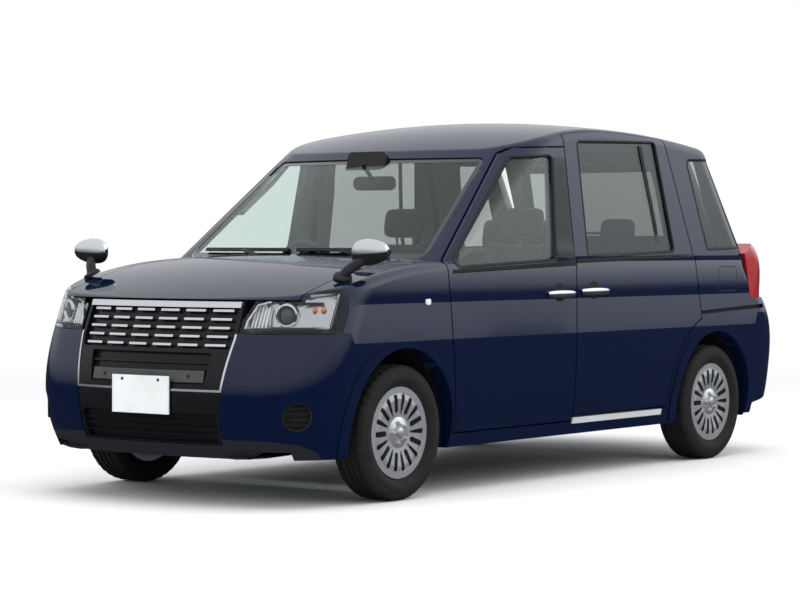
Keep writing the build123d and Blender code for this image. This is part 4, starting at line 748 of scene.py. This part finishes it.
def mirror_point(station, angle, side):
    """A point of a mirror's shell: it is slimmer at its outer end and flat at the back."""
    turn = math.radians(angle)
    end = (1 - abs(station) ** 3.5) ** 0.45
    taper = 1 - 0.30 * max(0.0, station)
    deep = MIRROR_HALF.x * (1.0 if math.cos(turn) > 0 else FLAT_BACK) * end
    high = MIRROR_HALF.z * (taper if math.sin(turn) > 0 else taper * 0.9) * end
    place = MIRROR_MIDDLE + Vector((deep * power(math.cos(turn), 0.75), MIRROR_HALF.y * station,
                                    high * power(math.sin(turn), 0.85) + 0.004 * station))
    return Vector((place.x, place.y * side, place.z))


def shell(stock, first, last, side):
    """A band of both ends' mirror shell between two angles round it."""
    angles = [first + (last - first) * n / 16 for n in range(17)]
    stock.grid([[mirror_point(station, angle, side) for angle in angles] for station in MIRROR_STATIONS])
    for station in (MIRROR_STATIONS[0], MIRROR_STATIONS[-1]):
        start = len(stock.points)
        stock.points.extend(mirror_point(station, angle, side) for angle in angles)
        stock.faces.append(list(range(start, len(stock.points))))


caps, housings, glasses = Stock(), Stock(), Stock()
for hand, side in HANDS:
    shell(caps, CAP_START, CAP_END, side)
    shell(housings, CAP_END, CAP_START + 360, side)
    housings.tube(mirrored(STEM, side), STEM_SECTION, up=(1, 0, 0.4))
    foot = mirrored([STEM[0]], side)[0]
    housings.lathe(STEM_FOOT, foot, (0.35, side * 0.35, 0.85), 28)
    face = rounded(box_corners(-0.076, -0.034, 0.070, 0.036), 0.022)
    rows = []
    for share, deep in ((1.0, 0.0), (1.0, 0.003), (0.90, 0.0035), (0.45, 0.0035), (0.05, 0.0035)):
        back = MIRROR_MIDDLE.x - MIRROR_HALF.x * FLAT_BACK - deep
        rows.append([Vector((back, side * (MIRROR_MIDDLE.y + spot.x * share), MIRROR_MIDDLE.z + spot.y * share))
                     for spot in face])
    glasses.grid(rows, closed_columns=True)
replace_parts(housings.made("mirror_housings", BLACK_MOULDING, "body", "black_plastic"), "fender_mirrors")
caps.made("mirror_caps", CHROME, "body", "chrome")
glasses.made("mirror_glasses", MIRROR_GLASS, "body", "chrome")

# Door handles: swelling grips whose ends run into the door
HANDLES = [
    ("left_front_handle", 0.035, 0.269, 0.893, 1, "left_front_door_leaf"),
    ("sliding_door_handle", -0.271, -0.025, 0.901, 1, "body"),
    ("right_front_handle", 0.035, 0.269, 0.893, -1, "right_front_door_leaf"),
    ("right_rear_handle", -0.271, -0.025, 0.901, -1, "right_rear_door_leaf"),
]
GRIP_STEPS = 22
GRIP_SQUARE = 0.8
GRIP_TURNS = [n * math.pi / 10 for n in range(20)]
for name, rear, front, height, side, body in HANDLES:
    rows = []
    for step in range(GRIP_STEPS + 1):
        share = step / GRIP_STEPS
        swell = math.sin(math.pi * min(max(share, 0.012), 0.988)) ** 0.35
        out, high, deep = 0.8475 + 0.0105 * swell, 0.0095 + 0.0105 * swell, 0.004 + 0.0060 * swell
        along = rear + (front - rear) * share
        rows.append([Vector((along, side * (out + deep * power(math.cos(turn), GRIP_SQUARE)),
                             height + high * power(math.sin(turn), GRIP_SQUARE))) for turn in GRIP_TURNS])
    grip = Stock().grid(rows, closed_columns=True, caps=True)
    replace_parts(grip.made(f"{name}_grip", CHROME, body, "chrome"), name)

# Trays that close the body's underside in front and behind, as rows of x, half width and height
TRAYS = [
    ("front_under_tray",
     [(2.095, 0.52, 0.214), (2.060, 0.60, 0.220), (1.950, 0.66, 0.232), (1.760, 0.66, 0.238)]),
    ("rear_under_tray",
     [(-1.775, 0.62, 0.262), (-1.880, 0.62, 0.284), (-1.990, 0.60, 0.302), (-2.075, 0.54, 0.312)]),
]
for name, stations in TRAYS:
    rows = []
    for thick in (0.0, 0.006):
        sheet = [[(along, half * n / 8, rise + thick - 0.004 * (n % 2)) for n in range(-8, 9)]
                 for along, half, rise in stations]
        rows.extend(sheet if not thick else reversed(sheet))
    Stock().grid(rows, closed_rows=True).made(name, UNDERCOAT, "body", "underbody_coat")

# Tail: window wiper, handle garnish, high stop lamp, bumper reflectors, exhaust tip
GARNISH = box_corners(-0.36, 0.905, 0.36, 0.955)
GATE_GRIP = box_corners(-0.13, 0.868, 0.13, 0.896)
STOP_LAMP = box_corners(-0.15, 1.592, 0.15, 1.616)
plate("tailgate_garnish", "tailgate", "rear", GARNISH, 0.016, CHROME, "tailgate_leaf", "chrome", 0.006, 0.008)
plate("tailgate_grip", "tailgate", "rear", GATE_GRIP, 0.010, BLACK_MOULDING, "tailgate_leaf", "black_plastic",
      0.004, 0.004)
plate("high_stop_lamp", "tailgate", "rear", STOP_LAMP, 0.008, RED_LENS, "tailgate_leaf", "red_lens",
      0.004, 0.004)
for hand, side in HANDS:
    low, high = sorted((side * 0.47, side * 0.62))
    plate(f"{hand}_rear_reflector", "rear_bumper", "rear", box_corners(low, 0.500, high, 0.532), 0.010,
          RED_LENS, "body", "red_lens", 0.004, 0.004)
tail_wiper = Stock()
blade = [Vector((0.02 - 0.34 * n / 8, 1.196)) for n in range(9)]
tail_wiper.tube(draped("tailgate_glass", "rear", blade, 0.010), flat_section(0.004, 0.016), up=(-1, 0, 0.3))
tail_wiper.tube(draped("tailgate_glass", "rear", blade, 0.020), flat_section(0.014, 0.007), up=(-1, 0, 0.3))
pivot = draped("tailgate", "rear", [Vector((0.02, 1.122))], 0.010)[0]
grip = draped("tailgate_glass", "rear", [Vector((-0.12, 1.196))], 0.026)[0]
bend = pivot.lerp(grip, 0.5) + Vector((-0.010, 0, 0))
tail_wiper.tube([pivot, bend, grip], flat_section(0.016, 0.008), up=(-1, 0, 0.3))
tail_wiper.lathe([(0.0, 0.018), (0.012, 0.016), (0.018, 0.008), (0.020, -0.012)], pivot, (-1, 0, 0.1), 24)
tail_wiper.made("tailgate_wiper", BLACK_MOULDING, "tailgate_leaf", "black_plastic")
TIP = [(0.0235, 0.0), (0.0275, 0.0), (0.0285, 0.110), (0.0295, 0.132), (0.0275, 0.134), (0.0255, 0.120),
       (0.0235, 0.020)]
tip = Stock().lathe(TIP, (-1.772, -0.330, 0.215), (-1, 0, -0.03), 28)
tip.made("exhaust_tip", CHROME, "body", "exhaust_steel")

# Seats: stuffed pads, swelled by the cloth solver, on moulded bases
PAD_VOXEL = 0.016
PAD_PRESSURE = 4.0
PAD_FRAMES = 20
PAD_SWELL = 0.012
CHANNEL_WIDTH = 0.009
CHANNEL_DEPTH = 0.008
# Forms of the pads: size, edge, padded face's axis, rise of the sides, taper to the top, and the channels,
# each as the axis that it crosses and its place there
PADS = {
    "front_cushion": ((0.47, 0.50, 0.120), 0.040, 2, 0.050, 0.0,
                      [(0, -0.09), (0, 0.03), (1, -0.15), (1, 0.15)]),
    "front_back": ((0.110, 0.48, 0.60), 0.040, 0, 0.060, 0.18,
                   [(2, -0.14), (2, 0.0), (2, 0.14), (1, -0.15), (1, 0.15)]),
    "front_headrest": ((0.080, 0.25, 0.155), 0.034, 0, 0.0, 0.06, []),
    "bench_cushion": ((0.455, 1.18, 0.122), 0.040, 2, 0.0, 0.0, [(1, -0.19), (1, 0.19), (0, 0.04)]),
    "bench_back": ((0.100, 1.18, 0.57), 0.040, 0, 0.0, 0.0, [(1, -0.19), (1, 0.19), (2, 0.05)]),
    "bench_headrest": ((0.076, 0.215, 0.165), 0.032, 0, 0.0, 0.06, []),
}
# Where each pad stands: name, form, place, lean in degrees, fill
SEAT_PADS = []
for name, across in (("driver", -0.37), ("passenger", 0.37)):
    SEAT_PADS.append((f"{name}_seat_cushion", "front_cushion", (0.205, across, 0.540), -2.5, 0.8))
    SEAT_PADS.append((f"{name}_seat_back", "front_back", (-0.158, across, 0.850), -15.5, 0.8))
    SEAT_PADS.append((f"{name}_headrest", "front_headrest", (-0.225, across, 1.240), -7.0, 0.9))
SEAT_PADS.append(("bench_cushion", "bench_cushion", (-0.735, 0.0, 0.584), -2.0, 0.8))
SEAT_PADS.append(("bench_back", "bench_back", (-1.012, 0.0, 0.828), -18.7, 0.8))
for name, across in (("right", -0.38), ("middle", 0.0), ("left", 0.38)):
    SEAT_PADS.append((f"bench_{name}_headrest", "bench_headrest", (-1.110, across, 1.186), -7.0, 0.9))


def reshape(thing, kind, **settings):
    """Gives a thing the mesh that it has under one modifier."""
    modifier = thing.modifiers.new(kind.lower(), kind)
    for name, value in settings.items():
        setattr(modifier, name, value)
    mesh = bpy.data.meshes.new_from_object(thing.evaluated_get(bpy.context.evaluated_depsgraph_get()))
    thing.modifiers.remove(modifier)
    thing.data = mesh


def swell(thing):
    """Stuffs a closed form with the cloth solver's pressure. No point goes further than the set swell."""
    cloth = thing.modifiers.new("stuffing", "CLOTH")
    cloth.settings.use_pressure = True
    cloth.settings.uniform_pressure_force = PAD_PRESSURE
    cloth.settings.effector_weights.gravity = 0.0
    cloth.point_cache.frame_start = 1
    cloth.point_cache.frame_end = PAD_FRAMES
    for step in range(1, PAD_FRAMES + 1):
        bpy.context.scene.frame_set(step)
    blown = thing.evaluated_get(bpy.context.evaluated_depsgraph_get()).data
    ways = [after.co - before.co for before, after in zip(thing.data.vertices, blown.vertices)]
    thing.modifiers.remove(cloth)
    for point, way in zip(thing.data.vertices, ways):
        point.co += way * min(1.0, PAD_SWELL / max(way.length, 1e-6))
    bpy.context.scene.frame_set(1)


def pad_mesh(form, size, edge, face, rise, taper, channels):
    """A pad's mesh about its own middle: a soft box with raised sides, stuffed and drawn in at its channels."""
    box = bmesh.new()
    bmesh.ops.create_cube(box, size=1.0)
    bmesh.ops.scale(box, vec=Vector(size), verts=box.verts)
    bmesh.ops.bevel(box, geom=box.edges[:], offset=edge, segments=4, profile=0.5, affect="EDGES")
    mesh = bpy.data.meshes.new(form)
    box.to_mesh(mesh)
    box.free()
    thing = bpy.data.objects.new(form, mesh)
    bpy.context.scene.collection.objects.link(thing)
    reshape(thing, "REMESH", mode="VOXEL", voxel_size=PAD_VOXEL)
    for point in thing.data.vertices:
        side = 2 * abs(point.co.y) / size[1]
        if point.co[face] > 0:
            point.co[face] += rise * max(0.0, side - 0.5)
        point.co.y *= 1 - taper * (point.co.z / size[2] + 0.5)
    swell(thing)
    reshape(thing, "SMOOTH", iterations=4)
    reshape(thing, "SUBSURF", levels=1)
    for point in thing.data.vertices:
        draws = [math.exp(-((point.co[axis] - at) / CHANNEL_WIDTH) ** 2) for axis, at in channels]
        if point.co[face] > 0 and draws:
            point.co[face] -= CHANNEL_DEPTH * max(draws)
    made = thing.data
    bpy.data.objects.remove(thing)
    return made


PAD_MESHES = {form: pad_mesh(form, *sizes) for form, sizes in PADS.items()}
for name, form, place, lean, fill in SEAT_PADS:
    mesh = PAD_MESHES[form].copy()
    mesh.transform(Matrix.Translation(place) @ Matrix.Rotation(math.radians(lean), 4, "Y"))
    mesh.materials.clear()
    mesh.materials.append(SEAT_CLOTH)
    for polygon in mesh.polygons:
        polygon.use_smooth = True
    cushion = bpy.data.objects.new(name, mesh)
    bpy.context.scene.collection.objects.link(cushion)
    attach(cushion, "body")
    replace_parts(cushion, "rear_seat" if name.startswith("bench") else "front_seats")


def plinth(stock, corners, levels):
    """A moulded seat base: round-cornered rings at the levels, each drawn in by a distance."""
    rows = [[Vector((spot.x, spot.y, height)) for spot in rounded(corners, 0.030, -drawn)]
            for height, drawn in levels]
    stock.grid(rows, closed_columns=True, caps=True)


POST_SECTION = round_section(0.006, 12)
bases, posts = Stock(), Stock()
for across in (-0.37, 0.37):
    plinth(bases, box_corners(-0.08, across - 0.18, 0.38, across + 0.18),
           [(0.270, 0.0), (0.300, 0.004), (0.330, 0.024), (0.440, 0.020), (0.478, 0.004)])
    for step in (-0.15, 0.15):
        bases.tube([(-0.16, across + step, 0.282), (0.42, across + step, 0.282)], flat_section(0.036, 0.020))
    for step in (-0.0525, 0.0525):
        post = [(-0.236, across + step, 1.085), (-0.226, across + step, 1.190)]
        posts.tube(post, POST_SECTION, up=(0, 1, 0))
for across in (-0.38, 0.0, 0.38):
    for step in (-0.05, 0.05):
        post = [(-1.112, across + step, 1.060), (-1.110, across + step, 1.130)]
        posts.tube(post, POST_SECTION, up=(0, 1, 0))
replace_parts(bases.made("front_seat_bases", CABIN_MOULDING, "body", "cabin_plastic"), "front_seats")
posts.made("headrest_posts", CHROME, "body", "chrome")
bench_base = Stock()
plinth(bench_base, box_corners(-0.81, -0.56, -0.53, 0.56),
       [(0.270, 0.0), (0.300, 0.006), (0.500, 0.010), (0.530, 0.0)])
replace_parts(bench_base.made("bench_base", CABIN_MOULDING, "body", "cabin_plastic"), "rear_seat")

# Cabin fittings: inside mirror, camera pod, instrument hood and screen
POD = box_corners(-0.12, 1.490, 0.12, 1.580)
pod = Stock()
pod_rows = [draped("windscreen", "front", rounded(POD, 0.030, -drawn), -sink)
            for sink, drawn in ((0.009, 0.0), (0.030, 0.004), (0.042, 0.022))]
pod.grid(pod_rows, closed_columns=True, caps=True)
MIRROR_EYE = Vector((0.520, 0.0, 1.428))
pod.tube([(0.615, 0, 1.520), (0.570, 0, 1.480), MIRROR_EYE], round_section(0.010, 12), up=(0, 1, 0))
mirror_rim = box_corners(-0.122, -0.034, 0.122, 0.034)
MIRROR_RINGS = ((0.022, 0.020), (0.019, 0.006), (0.008, 0.0), (-0.012, 0.0), (-0.015, 0.003))
mirror_rows = [[MIRROR_EYE + Vector((deep, spot.x, spot.y)) for spot in rounded(mirror_rim, 0.030, -drawn)]
               for deep, drawn in MIRROR_RINGS]
pod.grid(mirror_rows, closed_columns=True, caps=True)
pod.made("inside_mirror_and_pod", BLACK_MOULDING, "body", "black_plastic")

HOOD_MIDDLE = (-0.37, 0.972)
HOOD_STATIONS = [(0.690, 0.155, 0.060), (0.694, 0.168, 0.074), (0.720, 0.170, 0.078), (0.800, 0.160, 0.066),
                 (0.880, 0.140, 0.046)]
hood = Stock()
HOOD_TURNS = [math.pi * n / 20 for n in range(21)]
hood_rows = [[(along, HOOD_MIDDLE[0] + half * math.cos(turn), HOOD_MIDDLE[1] + rise * math.sin(turn))
              for turn in HOOD_TURNS] for along, half, rise in HOOD_STATIONS]
hood.grid(hood_rows, closed_columns=True, caps=True)
hood.made("instrument_hood", CABIN_MOULDING, "body", "cabin_plastic")
DISPLAY_FOOT = 0.905
DISPLAY_LEAN = 0.12
DISPLAY_FRAME = box_corners(-0.125, DISPLAY_FOOT, 0.125, 1.055)
DISPLAY_RINGS = ((0.690, 0.004), (0.688, 0.0), (0.674, 0.0), (0.671, 0.003), (0.6715, 0.009))
display = Stock()
display_rows = [[(along + (spot.y - DISPLAY_FOOT) * DISPLAY_LEAN, spot.x, spot.y)
                 for spot in rounded(DISPLAY_FRAME, 0.012, -drawn)] for along, drawn in DISPLAY_RINGS]
display.grid(display_rows, closed_columns=True, caps=True)
display.made("dash_screen", GLOSS_BLACK, "body", "cabin_plastic")

# Division bars of the rear side windows
DIVISION = [(-0.706, 1.634), (-0.730, 1.500), (-0.757, 1.360), (-0.783, 1.220), (-0.808, 1.094)]
for hand, side in HANDS:
    pane = "sliding_door_glass" if side > 0 else "right_rear_window"
    bar = draped(pane, hand, [Vector(spot) for spot in DIVISION], 0.002)
    division = Stock().tube(bar, flat_section(0.026, 0.006), up=(0, side, 0))
    leaf = "body" if side > 0 else "right_rear_door_leaf"
    division.made(f"{hand}_window_division", SEAL_RUBBER, leaf, "black_plastic")

# Wheel covers: dark tapered sheets laid over the cover's openings, painted shade where the slots would show the
# dark inside of the wheel
SLOT_SHADE_COUNT = 18
SLOT_SHADE_PROUD = 0.0006
# Half widths of a slot by radius, and how far the cover's face lies in from its middle there
SLOT_SHADE_STATIONS = [(0.098, 0.0045, -0.0058), (0.102, 0.0062, -0.0055), (0.135, 0.0090, -0.0031),
                 (0.150, 0.0103, -0.0019), (0.166, 0.0112, -0.0034), (0.171, 0.0096, -0.0040)]
for end, axle_x in AXLES.items():
    for hand, side in HANDS:
        # The dark sheets of one wheel: painted shade over the openings of its cover
        slots = Stock()
        for turn in range(SLOT_SHADE_COUNT):
            angle = 2 * math.pi * turn / SLOT_SHADE_COUNT
            out = Vector((math.cos(angle), 0, math.sin(angle)))
            along = Vector((-math.sin(angle), 0, math.cos(angle)))
            middle = Vector((axle_x, side * (TRACK + COVER_FACE), HUB_Z))
            rows = []
            for radius, half, sunk in SLOT_SHADE_STATIONS:
                spot = middle + out * radius + Vector((0, side * (sunk + SLOT_SHADE_PROUD), 0))
                rows.append([spot + along * (half * step) for step in (-1, -0.5, 0, 0.5, 1)])
            slots.grid(rows)
        slots.made(f"{hand}_{end}_cover_slot_shades", GLOSS_BLACK, f"{hand}_{end}_wheel_set", "black_plastic")

# Studio
CAMERA_PLACE = Vector((10.209, 7.393, 1.136))
CAMERA_HEADING = 216.753
CAMERA_DIP = 1.30
CAMERA_ROLL = 0.09
CAMERA_LENS = 112.32

camera = bpy.data.objects.new("camera", bpy.data.cameras.new("camera"))
camera.data.sensor_width = 36
camera.data.lens = CAMERA_LENS
camera.data.clip_end = 300
turned = Matrix.Rotation(math.radians(CAMERA_HEADING - 90), 4, "Z")
tipped = Matrix.Rotation(math.radians(90 - CAMERA_DIP), 4, "X")
camera.matrix_world = (Matrix.Translation(CAMERA_PLACE) @ turned @ tipped
                       @ Matrix.Rotation(math.radians(CAMERA_ROLL), 4, "Z"))
bpy.context.scene.collection.objects.link(camera)
bpy.context.scene.camera = camera

# Lights: name, place, size, power, aim
LIGHTS = [
    ("top_softbox", (0.5, 0.5, 6.0), 7.0, 300, (0, 0, 0)),
    ("front_softbox", (8.5, -2.5, 3.6), 4.0, 150, (1.5, 0, 0.8)),
    ("side_softbox", (0.5, 8.5, 4.5), 4.5, 110, (-0.3, 0.6, 0.9)),
    ("rear_softbox", (-7.0, 5.0, 5.0), 4.0, 110, (-1.5, 0, 0.9)),
]
for name, place, size, watts, aim in LIGHTS:
    lamp = bpy.data.lights.new(name, "AREA")
    lamp.size = size
    lamp.energy = watts
    light = bpy.data.objects.new(name, lamp)
    light.visible_glossy = False
    light.location = place
    light.rotation_euler = (Vector(aim) - Vector(place)).to_track_quat("-Z", "Y").to_euler()
    bpy.context.scene.collection.objects.link(light)

# Brightness of the studio's walls by the sine of the height that one looks at
STUDIO_STRENGTH = 1.0
LIT_STRENGTH = 1.5
LIT_WALL = (-0.78, 0.57, 0.26)
STUDIO_WALLS = [(0.0, (0.03, 0.03, 0.035)), (1.0, (0.85, 0.86, 0.88)), (0.02, (0.06, 0.06, 0.07)),
                (0.06, (0.30, 0.32, 0.34)), (0.17, (0.70, 0.72, 0.74)), (0.35, (0.80, 0.81, 0.83))]
world = bpy.data.worlds.new("studio")
world.use_nodes = True
world.node_tree.nodes.clear()
sky = Shade(world.node_tree)
rise = sky.node("TexCoord", out="Generated").part("Z")
walls = sky.node("ValToRGB", {"stops": STUDIO_WALLS}, {0: rise})
looked = sky.node("TexCoord", out="Generated")
towards = sky.node("VectorMath", {"operation": "DOT_PRODUCT"}, {0: looked, 1: LIT_WALL}, "Value")
lit = sky.math("POWER", sky.math("MAXIMUM", towards, 0.0), 6.0)
studio = sky.node("Background", None, {"Color": walls, "Strength": STUDIO_STRENGTH + lit * LIT_STRENGTH})
backdrop = sky.node("Background", None, {"Color": colour(1, 1, 1), "Strength": 1.0})
seen = sky.node("LightPath", out="Is Camera Ray")
sky.node("OutputWorld", None, {"Surface": sky.node("MixShader", None, {0: seen, 1: studio, 2: backdrop})})
bpy.context.scene.world = world
bpy.context.scene.view_settings.view_transform = "Standard"

FLOOR_REACH = 12
FLOOR_FADE = (4.5, 10.5)
floor = bpy.data.meshes.new("floor")
floor.from_pydata([(x, y, 0) for x, y in ((-1, -1), (1, -1), (1, 1), (-1, 1))], [], [(0, 1, 2, 3)])
floor.transform(Matrix.Scale(FLOOR_REACH, 4))
floor_object = bpy.data.objects.new("floor", floor)
floor_object.visible_glossy = False


def floor_look(start):
    """A pale studio floor with the faintest mottle, which fades out into the backdrop."""
    mottle = start.noise(0.8, 3)
    far = start.node("VectorMath", {"operation": "LENGTH"}, {0: start.place()}, "Value")
    pale = mottle.mixed(colour(0.84, 0.84, 0.84), colour(0.88, 0.88, 0.88))
    return start.surface(Base_Color=pale, Roughness=0.7, Alpha=1 - far.between(*FLOOR_FADE))


floor.materials.append(finish("pale_floor", floor_look))
bpy.context.scene.collection.objects.link(floor_object)
